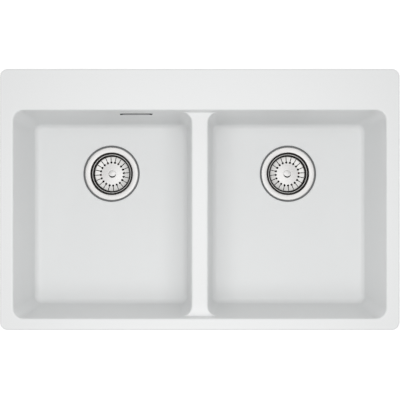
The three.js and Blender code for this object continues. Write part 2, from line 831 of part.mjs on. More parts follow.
// The moulded waste body: a flange, a bowl round the cup, a cone, the threaded outlet, and a hub on ribs.
function wasteBody(hasSpigot) {
  const t = wasteWall;
  const bowlBottom = wasteTop - wasteBowlDepth;
  const coneBottom = bowlBottom - wasteConeDepth;
  const shell = revolve(
    [
      [wasteFlangeRadius, wasteTop],
      [wasteFlangeRadius, wasteTop - wasteFlangeThickness],
      [wasteInner + t, wasteTop - wasteFlangeThickness],
      [wasteInner + t, bowlBottom],
      [threadRadius, coneBottom],
      [threadRadius, wasteMouth],
      [socketRadius, wasteMouth],
      [socketRadius, coneBottom],
      [wasteInner, bowlBottom],
      [wasteInner, wasteTop],
    ],
    bodySegments,
  );
  const hubTop = cupFloor - sheetThickness - seatGap;
  const hubBottom = hubTop - spiderHubLength;
  const hub = cylinder(spiderHubRadius, hubBottom, hubTop, smallSegments);
  const rib = box(
    0,
    wasteInner + t / 2,
    -spiderRibThickness / 2,
    spiderRibThickness / 2,
    bowlBottom + spiderRibInset,
    hubTop - spiderRibInset,
  );
  const ribs = Array.from({ length: spiderRibCount }, (_, i) =>
    rib.rotate([0, 0, 90 + (360 * (i + 0.5)) / spiderRibCount]),
  );
  const bore = cylinder(fixingShankRadius + slipGap, hubBottom - past, hubTop + past, smallSegments);
  let body = cut(joined(shell, hub, ...ribs), bore);
  if (hasSpigot) {
    const turned = (radius, from, to) =>
      cylinder(radius, from, to, smallSegments).rotate([-90, 0, 0]).translate([0, 0, spigotAxisZ]);
    const tube = turned(spigotRadius, wasteInner + seatGap, spigotReach);
    body = cut(joined(body, tube), turned(spigotBore, wasteInner - past, spigotReach + past));
  }
  return body;
}

// ---------------------------------------------------------------------------------------------------
// Pipework. A joint's own z = 0 is the mouth of the threaded socket, which lies above it.
// ---------------------------------------------------------------------------------------------------

function unionNut() {
  const thread = threadRadius + nutThreadGap;
  const outer = thread + nutWall;
  const bottom = -washerHeight - nutLip;
  const outline = Array.from({ length: 2 * nutGripCount }, (_, i) => {
    const angle = (Math.PI * i) / nutGripCount;
    const radius = i % 2 ? outer : outer - nutGripDepth;
    return new THREE.Vector2(radius * Math.cos(angle), radius * Math.sin(angle));
  });
  const body = new THREE.ExtrudeGeometry(new THREE.Shape(outline), {
    depth: nutThreadCover - bottom,
    bevelEnabled: false,
  }).translate(0, 0, bottom);
  const bore = revolve(
    [
      [0, bottom - past],
      [pipeRadius + slipGap, bottom - past],
      [pipeRadius + slipGap, -washerHeight],
      [thread, -washerHeight],
      [thread, nutThreadCover + past],
      [0, nutThreadCover + past],
    ],
    pipeSegments,
  );
  return cut(toSolid(body), bore);
}

function unionWasher() {
  return revolve(
    [
      [pipeRadius + slipGap, seatGap - washerHeight],
      [threadRadius - slipGap, seatGap - washerHeight],
      [threadRadius - washerTaper, -seatGap],
      [pipeRadius + slipGap, -seatGap],
    ],
    pipeSegments,
  );
}

// A hollow pipe along stations, from its outside round the far end and back through its bore.
function hollowPipe(stations, outer, inner, segments) {
  const outside = pipeRings(stations, () => outer, segments);
  const inside = pipeRings(stations, () => inner, segments);
  return skin([...outside, ...inside.reverse()], true);
}

// The pipe from a waste body's outlet, down, round a bend and level to the tee. side is the bowl's side.
function branchPipe(side) {
  const x = side * drainX;
  const top = flangeZ + wasteMouth + pipeInsertion;
  const down = new THREE.Vector3(0, 0, -1);
  const inwards = new THREE.Vector3(-side, 0, 0);
  const stations = [{ point: new THREE.Vector3(x, drainY, top), direction: down }];
  for (let i = 0; i <= bendSegments; i++) {
    const angle = (quarter * i) / bendSegments;
    stations.push({
      point: new THREE.Vector3(
        x - side * bendRadius * (1 - Math.cos(angle)),
        drainY,
        pipeAxisZ + bendRadius * (1 - Math.sin(angle)),
      ),
      direction: down.clone().multiplyScalar(Math.cos(angle)).addScaledVector(inwards, Math.sin(angle)),
    });
  }
  const end = side * (teeHalfLength - pipeInsertion);
  stations.push({ point: new THREE.Vector3(end, drainY, pipeAxisZ), direction: inwards });
  return hollowPipe(stations, pipeRadius, pipeRadius - pipeWall, pipeSegments);
}

// The tee: two sockets facing left and right, and a spigot down into the trap. Its axes meet at its origin.
function tee() {
  const stop = teeHalfLength - pipeInsertion - socketSpare;
  const level = (radius, from, to) => cylinder(radius, from, to, pipeSegments).rotate([0, 90, 0]);
  const spigotBottom = -teeToTrap - pipeInsertion;
  const outside = joined(
    level(threadRadius, -teeHalfLength, teeHalfLength),
    cylinder(pipeRadius, spigotBottom, 0, pipeSegments),
  );
  const bore = pipeRadius - pipeWall;
  return cut(
    outside,
    level(bore, -teeHalfLength, teeHalfLength),
    level(socketRadius, -teeHalfLength - past, -stop),
    level(socketRadius, stop, teeHalfLength + past),
    cylinder(bore, spigotBottom - past, 0, pipeSegments),
  );
}

// The trap. Its own z = 0 is the mouth of its neck.
const trapShoulder = -trapNeckLength;
const trapBodyBottom = trapShoulder - trapBodyHeight;
const trapOutletZ = trapShoulder - trapOutletDrop;
const trapThreadRadius = trapBodyRadius - trapWall;
const trapInnerRadius = trapThreadRadius - trapWall;
const trapShelfRadius = trapInnerRadius + trapSealInset;

function trapBody() {
  const shell = revolve(
    [
      [threadRadius, 0],
      [threadRadius, trapShoulder],
      [trapBodyRadius, trapShoulder - trapShoulderDrop],
      [trapBodyRadius, trapBodyBottom + trapThreadLength],
      [trapThreadRadius, trapBodyBottom + trapThreadLength],
      [trapThreadRadius, trapBodyBottom],
      [trapInnerRadius, trapBodyBottom],
      [trapInnerRadius, trapShoulder - trapShoulderDrop - trapWall],
      [threadRadius, trapShoulder - trapWall],
      [threadRadius, -trapDipLength],
      [socketRadius, -trapDipLength],
      [socketRadius, 0],
    ],
    bodySegments,
  );
  const outwards = (radius, from, to) =>
    cylinder(radius, from, to, pipeSegments).rotate([-90, 0, 0]).translate([0, 0, trapOutletZ]);
  const socket = outwards(threadRadius, trapThreadRadius, trapOutletReach);
  const way = outwards(socketRadius, threadRadius + socketGap, trapOutletReach + past);
  return cut(joined(shell, socket), way);
}

function trapCupSeal() {
  const top = trapBodyBottom - seatGap;
  return ring(trapShelfRadius, trapThreadRadius, top - trapSealHeight, top, bodySegments);
}

function trapCup() {
  const mouth = trapThreadRadius + slipGap;
  const outer = mouth + trapWall;
  const shelf = trapBodyBottom - 2 * seatGap - trapSealHeight;
  const rim = trapBodyBottom + trapThreadLength - slipGap;
  const bottom = rim - trapCupHeight;
  const low = trapShelfRadius - trapCupTaper;
  const cup = revolve(
    [
      [0, bottom],
      [low - trapCupChamfer, bottom],
      [low + trapWall, bottom + trapCupChamfer],
      [trapShelfRadius + trapWall, shelf - trapCupChamfer],
      [outer, shelf],
      [outer, rim],
      [mouth, rim],
      [mouth, shelf],
      [trapShelfRadius, shelf],
      [low, bottom + trapCupChamfer + trapWall / 2],
      [low - trapCupChamfer, bottom + trapWall],
      [0, bottom + trapWall],
    ],
    bodySegments,
  );
  const half = trapGripWidth / 2;
  const grip = box(outer - trapWall / 2, outer + trapGripHeight, -half, half, shelf, rim);
  const grips = Array.from({ length: trapCupGrips }, (_, i) =>
    grip.rotate([0, 0, (360 * (i + 0.5)) / trapCupGrips]),
  );
  return joined(cup, ...grips);
}

// The pipe out of the trap, along +Y.
function outletPipe(from, to, z) {
  const back = new THREE.Vector3(0, 1, 0);
  const stations = [from, to].map((y) => ({ point: new THREE.Vector3(0, y, z), direction: back }));
  return hollowPipe(stations, pipeRadius, pipeRadius - pipeWall, pipeSegments);
}

// ---------------------------------------------------------------------------------------------------
// Overflow
// ---------------------------------------------------------------------------------------------------

const housingFace = overflowPadY + overflowSealThickness + 2 * seatGap;
const housingBack = housingFace + overflowHousingDepth;
const hubFront = housingFace + overflowHubReach; // where the cover's hub meets the housing's
const spigotY = (housingFace + overflowFlangeThickness + housingBack) / 2;
const coverFace = overflowWallY - overflowBarProud;

// The outline of the pad on the wall, and of what is pressed on it.
function overflowOutline() {
  return stadium(overflowSlotWidth + 2 * overflowPadMargin, overflowSlotHeight + 2 * overflowPadMargin);
}

function overflowSeal() {
  const outer = overflowOutline();
  const margin = 2 * overflowSealMargin;
  const hole = stadium(overflowSlotWidth + margin, overflowSlotHeight + margin);
  outer.holes.push(new THREE.Path(hole.getPoints(slotSegments).slice(0, -1).reverse()));
  const from = overflowPadY + seatGap;
  return extrudeAlongY(outer, from, from + overflowSealThickness);
}

// The housing behind the wall: a flange, a chamber as wide as the slot, the screw's hub and a spigot down.
function overflowHousing() {
  const t = overflowHousingWall;
  const wide = overflowSlotWidth + 2 * t;
  const high = overflowSlotHeight + 2 * t;
  const flangeBack = housingFace + overflowFlangeThickness;
  const flange = extrudeAlongY(overflowOutline(), housingFace, flangeBack);
  const chamber = extrudeAlongY(stadium(wide, high), flangeBack - t / 2, housingBack);
  const slot = stadium(overflowSlotWidth, overflowSlotHeight);
  const space = extrudeAlongY(slot, housingFace - past, housingBack - t);
  const down = (radius, from, to) => cylinder(radius, to, from, smallSegments).translate([0, spigotY, 0]);
  const spigotTop = -overflowSlotHeight / 2;
  const spigotEnd = -high / 2 - spigotLength;
  const hub = cylinder(overflowHubRadius, 0, housingBack - t / 2 - hubFront - seatGap, screwSegments)
    .rotate([-90, 0, 0])
    .translate([0, hubFront + seatGap, 0]);
  const pilot = cylinder(overflowScrewRadius + slipGap / 2, 0, overflowScrewBite + 2 * past, screwSegments)
    .rotate([-90, 0, 0])
    .translate([0, hubFront, 0]);
  const shell = cut(
    joined(flange, chamber, down(spigotRadius, spigotTop, spigotEnd)),
    space,
    down(spigotBore, 0, spigotEnd - past),
  );
  return cut(joined(shell, hub), pilot);
}

// The bar across the slot, with the hub that carries it. Water runs in round the bar.
function overflowCover() {
  const shape = stadium(overflowBarLength, overflowBarHeight);
  const bar = extrudeAlongY(shape, coverFace, coverFace + overflowBarThickness);
  const along = (radius, from, to) => cylinder(radius, from, to, screwSegments).rotate([-90, 0, 0]);
  const hub = along(overflowHubRadius, coverFace + overflowBarThickness / 2, hubFront);
  return cut(joined(bar, hub), along(overflowScrewRadius + slipGap, coverFace - past, hubFront + past));
}

function overflowScrew() {
  const seat = coverFace - seatGap;
  const top = seat - overflowScrewHeadHeight;
  const tip = hubFront + overflowScrewBite;
  return revolve(
    [
      [0, top],
      [overflowScrewHeadRadius - overflowScrewHeadHeight / 2, top],
      [overflowScrewHeadRadius, seat],
      [overflowScrewRadius, seat],
      [overflowScrewRadius, tip],
      [0, tip],
    ],
    screwSegments,
  ).rotate([-90, 0, 0]);
}

// The ribbed hose from the overflow's spigot down, under the left bowl and into its waste body from behind.
function overflowHose() {
  const overlap = spigotLength - spigotBare;
  const down = new THREE.Vector3(0, 0, -1);
  const forward = new THREE.Vector3(0, -1, 0);
  const high = overflowSlotHeight / 2 + overflowHousingWall + spigotLength;
  const start = new THREE.Vector3(-overflowFromCentre, spigotY, overflowZ - high + overlap);
  const end = new THREE.Vector3(-drainX, drainY + spigotReach - overlap, flangeZ + spigotAxisZ);
  const bendStart = start.clone().addScaledVector(down, hoseCuffLength);
  const bendEnd = end.clone().addScaledVector(forward, -hoseCuffLength);
  const bend = new THREE.CubicBezierCurve3(
    bendStart,
    bendStart.clone().addScaledVector(down, hoseLead),
    bendEnd.clone().addScaledVector(forward, -hoseLead),
    bendEnd,
  );
  const steps = 2 * Math.round(bend.getLength() / hoseRibPitch);
  const along = Array.from({ length: steps + 1 }, (_, i) => ({
    point: bend.getPointAt(i / steps),
    direction: bend.getTangentAt(i / steps),
  }));
  const stations = [{ point: start, direction: down }, ...along, { point: end, direction: forward }];
  const isCrest = (k) => k % 2 === 0 && k > 0 && k < stations.length - 1;
  const radiusAt = (k) => (isCrest(k) ? hoseRadius : hoseRadius - hoseRibDepth);
  const outside = pipeRings(stations, radiusAt, hoseSegments);
  const boreStep = 10; // stations from one ring of the plain bore to the next
  const inside = pipeRings(stations, () => hoseBore, hoseSegments).filter(
    (_, k) => k <= 1 || k >= stations.length - 2 || (k - 1) % boreStep === 0,
  );
  return skin([...outside, ...inside.reverse()], true);
}

// ---------------------------------------------------------------------------------------------------
// Clips. A clip's own origin is on its screw's axis, level with the worktop's top face.
// ---------------------------------------------------------------------------------------------------

const clawBottom = -clawTipDepth - clawRise;

// The claw: a bent strip with a hole for the screw at one end and teeth at the other. It points along +X.
function clipClaw() {
  const t = clawSheet;
  const half = clawWidth / 2;
  const profile = [
    [-half, 0],
    [half + clawBendOffset, 0],
    [clawReach, clawRise - clawToothHeight],
    [clawReach, clawRise],
    [clawReach - t, clawRise - clawToothHeight / 3],
    [half, t],
    [-half, t],
  ];
  const shape = new THREE.Shape(profile.map(([x, z]) => new THREE.Vector2(x, z + clawBottom)));
  const strip = extrudeAlongY(shape, -half, half);
  const hole = cylinder(clipScrewRadius + slipGap, clawBottom - past, clawBottom + t + past, screwSegments);
  return cut(strip, hole);
}

function clipScrew() {
  const seat = clawBottom - seatGap;
  const bottom = seat - clipHeadHeight;
  return revolve(
    [
      [0, bottom],
      [clipHeadRadius - clipHeadChamfer, bottom],
      [clipHeadRadius, bottom + clipHeadChamfer],
      [clipHeadRadius, seat],
      [clipScrewRadius, seat],
      [clipScrewRadius, -clipScrewTop],
      [0, -clipScrewTop],
    ],
    screwSegments,
  );
}

// ---------------------------------------------------------------------------------------------------
// Materials
// ---------------------------------------------------------------------------------------------------

function finish(color, roughness, metalness) {
  return new THREE.MeshStandardMaterial({ color, roughness, metalness });
}

const composite = finish(0xe9ebea, 0.55, 0);
const polishedSteel = finish(0xd2d0cd, 0.18, 1);
const zincSteel = finish(0xb4b6b8, 0.35, 1);
const blackRubber = finish(0x1c1c1c, 0.8, 0);
const greyFoam = finish(0x3c3d3e, 0.95, 0);
const blackPlastic = finish(0x2a2b2c, 0.5, 0);
const whitePlastic = finish(0xf0f0ee, 0.4, 0);
const greyPlastic = finish(0xa9abac, 0.4, 0);

// ---------------------------------------------------------------------------------------------------
// Assembly
// ---------------------------------------------------------------------------------------------------

const sink = new THREE.Group();

function piece(name, solid, material, parent = sink) {
  const mesh = new THREE.Mesh(toGeometry(solid), material);
  mesh.name = name;
  parent.add(mesh);
}

function place(parent, x, y, z, rotation = [0, 0, 0]) {
  const group = new THREE.Group();
  group.position.set(x, y, z);
  group.rotation.set(...rotation);
  parent.add(group);
  return group;
}

piece("basin", basin(), composite);
piece("rim_seal", rimSeal(), greyFoam);

const shared = {
  cup: strainerCup(),
  flangeSeal: flangeSeal(),
  gasket: bodyGasket(),
  basket: basket(),
  basketSeal: basketSeal(),
  knob: basketKnob(),
  stem: basketStem(),
  fixing: fixingScrew(),
  nut: unionNut(),
  washer: unionWasher(),
  claw: clipClaw(),
  screw: clipScrew(),
};

function pipeJoint(name, parent, x, y, z, rotation) {
  const group = place(parent, x, y, z, rotation);
  piece(`${name}_nut`, shared.nut, whitePlastic, group);
  piece(`${name}_washer`, shared.washer, blackRubber, group);
}

for (const [name, side] of Object.entries(sides)) {
  const waste = place(sink, side * drainX, drainY, flangeZ);
  piece(`strainer_cup_${name}`, shared.cup, polishedSteel, waste);
  piece(`flange_seal_${name}`, shared.flangeSeal, blackRubber, waste);
  piece(`body_gasket_${name}`, shared.gasket, blackRubber, waste);
  piece(`fixing_screw_${name}`, shared.fixing, polishedSteel, waste);
  piece(`basket_${name}`, shared.basket, polishedSteel, waste);
  piece(`basket_seal_${name}`, shared.basketSeal, blackRubber, waste);
  piece(`basket_knob_${name}`, shared.knob, polishedSteel, waste);
  piece(`basket_stem_${name}`, shared.stem, blackPlastic, waste);
  piece(`waste_body_${name}`, wasteBody(side < 0), whitePlastic, waste);
  pipeJoint(`waste_${name}`, waste, 0, 0, wasteMouth);
  piece(`branch_pipe_${name}`, branchPipe(side), whitePlastic);
  pipeJoint(`tee_${name}`, sink, side * teeHalfLength, drainY, pipeAxisZ, [0, -side * quarter, 0]);
}

piece("tee", tee(), whitePlastic, place(sink, 0, drainY, pipeAxisZ));

const trap = place(sink, 0, drainY, pipeAxisZ - teeToTrap);
pipeJoint("trap_inlet", trap, 0, 0, 0, [2 * quarter, 0, 0]);
piece("trap_body", trapBody(), whitePlastic, trap);
piece("trap_cup_seal", trapCupSeal(), blackRubber, trap);
piece("trap_cup", trapCup(), whitePlastic, trap);
pipeJoint("trap_outlet", trap, 0, trapOutletReach, trapOutletZ, [quarter, 0, 0]);
const outletStart = trapOutletReach - pipeInsertion;
const outletEnd = overallDepth / 2 - outletToBackEdge - drainY;
piece("outlet_pipe", outletPipe(outletStart, outletEnd, trapOutletZ), whitePlastic, trap);

const overflow = place(sink, -overflowFromCentre, 0, overflowZ);
piece("overflow_cover", overflowCover(), greyPlastic, overflow);
piece("overflow_screw", overflowScrew(), polishedSteel, overflow);
piece("overflow_seal", overflowSeal(), blackRubber, overflow);
piece("overflow_housing", overflowHousing(), blackPlastic, overflow);
piece("overflow_hose", overflowHose(), greyPlastic);

for (const { name, x, y, turn } of clipPlaces) {
  const clip = place(sink, x, y, 0, [0, 0, turn]);
  piece(`clip_screw_${name}`, shared.screw, zincSteel, clip);
  piece(`clip_claw_${name}`, shared.claw, zincSteel, clip);
}

export default sink;
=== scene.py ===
import logging
import math
from collections.abc import Callable, Iterable, Sequence
from dataclasses import dataclass
from enum import Enum

import bmesh
import bpy
import numpy as np
from mathutils import Matrix, Vector


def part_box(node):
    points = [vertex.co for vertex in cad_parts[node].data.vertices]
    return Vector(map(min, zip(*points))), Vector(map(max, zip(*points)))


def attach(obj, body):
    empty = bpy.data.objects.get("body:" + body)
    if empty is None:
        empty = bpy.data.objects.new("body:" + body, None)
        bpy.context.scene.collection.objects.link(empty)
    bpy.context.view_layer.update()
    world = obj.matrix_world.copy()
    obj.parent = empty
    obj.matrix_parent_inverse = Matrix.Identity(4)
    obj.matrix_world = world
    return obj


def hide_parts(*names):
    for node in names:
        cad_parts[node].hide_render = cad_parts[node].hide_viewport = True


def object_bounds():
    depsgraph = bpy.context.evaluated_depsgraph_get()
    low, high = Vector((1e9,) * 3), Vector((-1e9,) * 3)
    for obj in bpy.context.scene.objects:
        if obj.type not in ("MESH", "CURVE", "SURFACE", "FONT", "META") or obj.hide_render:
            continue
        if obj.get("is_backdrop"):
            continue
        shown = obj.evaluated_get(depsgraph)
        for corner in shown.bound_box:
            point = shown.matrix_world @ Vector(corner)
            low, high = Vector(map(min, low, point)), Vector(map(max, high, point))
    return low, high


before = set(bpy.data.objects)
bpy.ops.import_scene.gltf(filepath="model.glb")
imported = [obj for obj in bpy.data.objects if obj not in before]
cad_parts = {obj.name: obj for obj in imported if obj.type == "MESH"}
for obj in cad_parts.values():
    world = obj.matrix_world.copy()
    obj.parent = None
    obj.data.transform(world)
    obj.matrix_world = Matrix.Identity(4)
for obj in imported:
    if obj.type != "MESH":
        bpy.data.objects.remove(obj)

log = logging.getLogger("sink")

MM = 0.001
QUARTER = math.pi / 2
SLIVER = 0.002 * MM  # edges shorter than this are closed up
PAST = 1  # how far a shape runs past what it cuts or into what it joins, in millimetres
ROOM = 0.48  # the share of a side that the rounding of one corner may take
STRAIGHT = 1e-3  # a corner that turns less than twice this, in radians, stays as it is
PICTURE = 400  # pixels along each side of the picture
NOISE_BAND = (0.3, 0.7)  # where nearly all of the noise's values lie
NOISE_PEAKS = (0.62, 0.7)  # where its highest values lie
RANGES = ("From Min", "From Max", "To Min", "To Max")  # the inputs that say which values become which

Rule = Callable[[np.ndarray, np.ndarray, np.ndarray], np.ndarray]  # one array worked out from three
Values = float | Sequence[float] | np.ndarray  # one number for all rings, or one for each


class Side(Enum):
    """One half of the sink, seen from its front."""

    LEFT = "left"
    RIGHT = "right"

    @property
    def sign(self) -> int:
        """Returns -1 for the left and 1 for the right."""
        return -1 if self is Side.LEFT else 1


class Facing(Enum):
    """A way along one of the axes."""

    UP = (0, 0, 1)
    DOWN = (0, 0, -1)
    RIGHT = (1, 0, 0)
    LEFT = (-1, 0, 0)
    FRONT = (0, -1, 0)
    BACK = (0, 1, 0)


class Joining(Enum):
    """What a shape does to the piece that it meets."""

    UNION = "UNION"
    DIFFERENCE = "DIFFERENCE"


# ----------------------------------------------------------------------------------------------------
# Colours, nodes and finishes
# ----------------------------------------------------------------------------------------------------


def linear(colour: str) -> tuple[float, float, float, float]:
    """Turns an sRGB hex colour into linear red, green, blue and alpha.

    Args:
        colour: The colour as "#RRGGBB".

    Returns:
        The linear colour with an alpha of 1.
    """
    shares = [int(colour[i : i + 2], 16) / 255 for i in (1, 3, 5)]
    return (*(s / 12.92 if s <= 0.04045 else ((s + 0.055) / 1.055) ** 2.4 for s in shares), 1.0)


def add_node(
    tree: bpy.types.NodeTree,
    kind: str,
    settings: dict[str, object],
    links: dict[str | int, bpy.types.NodeSocket],
) -> bpy.types.Node:
    """Adds one shader node, with its settings and its links.

    Args:
        tree: The node tree that it goes in.
        kind: The node's type, such as "ShaderNodeTexNoise".
        settings: Values by name. A name that is a property of the node sets it, and any other sets an input.
        links: Output sockets by the name or index of the input that each goes to.

    Returns:
        The node.
    """
    node = tree.nodes.new(kind)
    for name, value in settings.items():
        if hasattr(node, name):
            setattr(node, name, value)
        else:
            node.inputs[name].default_value = value
    for name, socket in links.items():
        tree.links.new(socket, node.inputs[name])
    return node


class Grain(Enum):
    """Where a finish takes its fine pattern from."""

    OBJECT = "object"
    TURNED = "turned"


@dataclass(frozen=True)
class Finish:
    """A material and how its surface was made. Sizes are in millimetres."""

    name: str
    colour: str
    roughness: float
    metallic: float = 0.0
    grain: Grain = Grain.OBJECT
    grain_size: float = 1.0
    bump: float = 0.0  # the height of the grain
    roughness_spread: float = 0.0
    tint: str = ""  # the colour of the darker grains, where they show
    tint_share: float = 0.0
    subsurface: float = 0.0
    subsurface_reach: float = 2.0
    emission: float = 0.0

    def material(self) -> bpy.types.Material:
        """Builds the material, once.

        The pattern is noise on the piece's own coordinates. On a turned piece those are its circle and the
        length along its profile, so that the noise draws out into rings round the axis. The noise moves
        the roughness up and down, and where the finish has a tint, the noise's peaks take that.

        Returns:
            The material.
        """
        ready = bpy.data.materials.get(self.name)
        if ready:
            return ready
        made = bpy.data.materials.new(self.name)
        made.use_nodes = True
        tree = made.node_tree
        tree.nodes.clear()
        settings = {
            "Base Color": linear(self.colour),
            "Metallic": self.metallic,
            "Roughness": self.roughness,
            "Subsurface Weight": self.subsurface,
            "Subsurface Scale": self.subsurface_reach * MM,
            "Emission Color": linear(self.colour),
            "Emission Strength": self.emission,
        }
        shader = add_node(tree, "ShaderNodeBsdfPrincipled", settings, {})
        add_node(tree, "ShaderNodeOutputMaterial", {}, {"Surface": shader.outputs["BSDF"]})
        if self.grain is Grain.TURNED:
            place = add_node(tree, "ShaderNodeAttribute", {"attribute_name": "turned"}, {}).outputs["Vector"]
        else:
            place = add_node(tree, "ShaderNodeTexCoord", {}, {}).outputs["Object"]
        settings = {"Scale": 1 / (self.grain_size * MM), "Detail": 3.0, "Roughness": 0.6}
        noise = add_node(tree, "ShaderNodeTexNoise", settings, {"Vector": place}).outputs["Fac"]
        if self.bump:
            settings = {"Strength": 1.0, "Distance": self.bump * MM}
            bump = add_node(tree, "ShaderNodeBump", settings, {"Height": noise})
            tree.links.new(bump.outputs["Normal"], shader.inputs["Normal"])
        if self.roughness_spread:
            low, high = self.roughness - self.roughness_spread, self.roughness + self.roughness_spread
            settings = dict(zip(RANGES, (*NOISE_BAND, low, high)))
            spread = add_node(tree, "ShaderNodeMapRange", settings, {"Value": noise})
            tree.links.new(spread.outputs["Result"], shader.inputs["Roughness"])
        if self.tint:
            settings = dict(zip(RANGES, (*NOISE_PEAKS, 0, self.tint_share)))
            speck = add_node(tree, "ShaderNodeMapRange", settings, {"Value": noise})
            mixed = add_node(tree, "ShaderNodeMix", {"data_type": "RGBA"}, {"Factor": speck.outputs["Result"]})
            inputs = [socket for socket in mixed.inputs if socket.type == "RGBA"]
            for socket, colour in zip(inputs, (self.colour, self.tint)):
                socket.default_value = linear(colour)
            result = next(socket for socket in mixed.outputs if socket.type == "RGBA")
            tree.links.new(result, shader.inputs["Base Color"])
        return made


# Quartz-filled acrylic, cast in a mould: an even white with a soft sheen and a barely grainy skin.
COMPOSITE = Finish(
    "quartz_composite_cast", "#EBECEC", 0.42, grain_size=1.1, bump=0.02, roughness_spread=0.05,
    tint="#DADBDA", tint_share=0.5,
)
# Stainless steel sheet, pressed and then polished on a lathe: bright, with faint rings.
POLISHED_STEEL = Finish(
    "stainless_steel_polished", "#B5B4B3", 0.4, metallic=1.0, grain=Grain.TURNED, grain_size=0.5, bump=0.002,
    roughness_spread=0.06,
)
# The same steel as the press leaves it, with a bright satin skin.
PRESSED_STEEL = Finish(
    "stainless_steel_pressed", "#DAD9D7", 0.55, metallic=1.0, grain=Grain.TURNED, grain_size=0.6, bump=0.002,
    roughness_spread=0.05,
)
# Painted shade: steel with a dark colour that stands in for the shade and dark reflections in the cup's mouth
# and on the basket's inner wall.
SHADE_PAINTED_STEEL = Finish(
    "stainless_steel_painted_shade", "#45413F", 0.4, metallic=1.0, grain=Grain.TURNED, grain_size=0.6, bump=0.004,
    roughness_spread=0.08,
)
# Painted shadow: steel with a nearly black colour that stands in for the shadow deep inside the cup and for
# the dark reflection in the knob's scoop.
BLACK_SHADE_PAINTED_STEEL = Finish(
    "stainless_steel_painted_black_shade", "#1F1D1C", 0.5, metallic=1.0, grain=Grain.TURNED, grain_size=0.6,
    bump=0.004,
)
# Mild steel, stamped and zinc plated: pale grey, with a cloudy shine.
ZINC_STEEL = Finish(
    "mild_steel_zinc_plated", "#BFC2C4", 0.34, metallic=1.0, grain_size=2.5, bump=0.004, roughness_spread=0.1,
)
# Nitrile rubber, moulded: black and matt.
RUBBER = Finish("nitrile_rubber_moulded", "#1D1D1E", 0.7, grain_size=0.8, bump=0.01, roughness_spread=0.08)
# The same rubber with a pale filler: mid grey.
GREY_RUBBER = Finish("epdm_rubber_moulded", "#6E7071", 0.6, grain_size=0.8, bump=0.01, roughness_spread=0.08)
# Closed-cell foam, cut in strips: dark grey, with fine open cells at the cut.
FOAM = Finish(
    "polyethylene_foam_cut", "#3D3E40", 0.92, grain_size=0.6, bump=0.08, tint="#242526", tint_share=0.8,
)
# Polypropylene, injection moulded: white, waxy and slightly mottled.
WHITE_PLASTIC = Finish(
    "polypropylene_moulded", "#EDEDEA", 0.38, grain_size=0.7, bump=0.006, roughness_spread=0.05,
    subsurface=0.05,
)
# ABS, injection moulded with a fine grain: mid grey.
GREY_PLASTIC = Finish("abs_moulded_grey", "#8C8E90", 0.42, grain_size=0.5, bump=0.006, roughness_spread=0.05)
# Nylon, injection moulded: black with a dull shine.
BLACK_PLASTIC = Finish(
    "nylon_moulded_black", "#2A2B2D", 0.45, grain_size=0.5, bump=0.008, roughness_spread=0.06,
)
# Soft PVC, extruded and corrugated: pale grey and slightly glossy.
SOFT_PVC = Finish("soft_pvc_corrugated", "#C9CBCC", 0.35, grain_size=0.8, bump=0.006, roughness_spread=0.06)
# The studio's painted board.
BOARD = Finish("board_painted_white", "#FFFFFF", 0.9, grain_size=3.0, bump=0.02, emission=0.4)


# ----------------------------------------------------------------------------------------------------
# Surfaces
# ----------------------------------------------------------------------------------------------------


@dataclass
class Shell:
    """A closed surface in millimetres: its points, its faces, and each point's place for a turned grain."""

    points: np.ndarray
    faces: list[list[int]]
    turned: np.ndarray | None = None

    def placed(self, x: float = 0.0, y: float = 0.0, z: float = 0.0) -> "Shell":
        """Returns the shell moved by x, y and z."""
        return Shell(self.points + np.array([x, y, z]), self.faces, self.turned)

    def facing(self, way: Facing) -> "Shell":
        """Returns the shell turned so that its +Z lies along an axis."""
        matrix = np.array(Vector(way.value).to_track_quat("Z", "Y").to_matrix())
        return Shell(self.points @ matrix.T, self.faces, self.turned)

    def spun(self, degrees: float) -> "Shell":
        """Returns the shell turned about Z."""
        matrix = np.array(Matrix.Rotation(math.radians(degrees), 3, "Z"))
        return Shell(self.points @ matrix.T, self.faces, self.turned)


def together(shells: Iterable[Shell]) -> Shell:
    """Puts shells that lie apart in one.

    Args:
        shells: The shells.

    Returns:
        One shell with all their points and faces.
    """
    parts = list(shells)
    offsets = np.cumsum([0] + [len(p.points) for p in parts])
    faces = [[i + start for i in face] for p, start in zip(parts, offsets) for face in p.faces]
    return Shell(np.concatenate([p.points for p in parts]), faces)


def stack(rings: np.ndarray, hollow: bool = False) -> Shell:
    """Skins rings of equally many points.

    The face between two rings joins each point to the next one round its ring and to the same two points
    of the ring after it. The first and last rings are capped flat, or joined to each other when hollow.

    Args:
        rings: Points as rows, columns and xyz. Columns run anticlockwise as seen from where the rows go.
        hollow: Whether the last ring joins the first.

    Returns:
        The closed surface.
    """
    rows, columns, _ = rings.shape
    index = np.arange(rows * columns).reshape(rows, columns)
    here = index if hollow else index[:-1]
    after = np.roll(index, -1, axis=0) if hollow else index[1:]
    corners = [here, np.roll(here, -1, 1), np.roll(after, -1, 1), after]
    faces = np.stack(corners, axis=-1).reshape(-1, 4).tolist()
    if not hollow:
        faces += [index[0, ::-1].tolist(), index[-1].tolist()]
    return Shell(rings.reshape(-1, 3), faces)


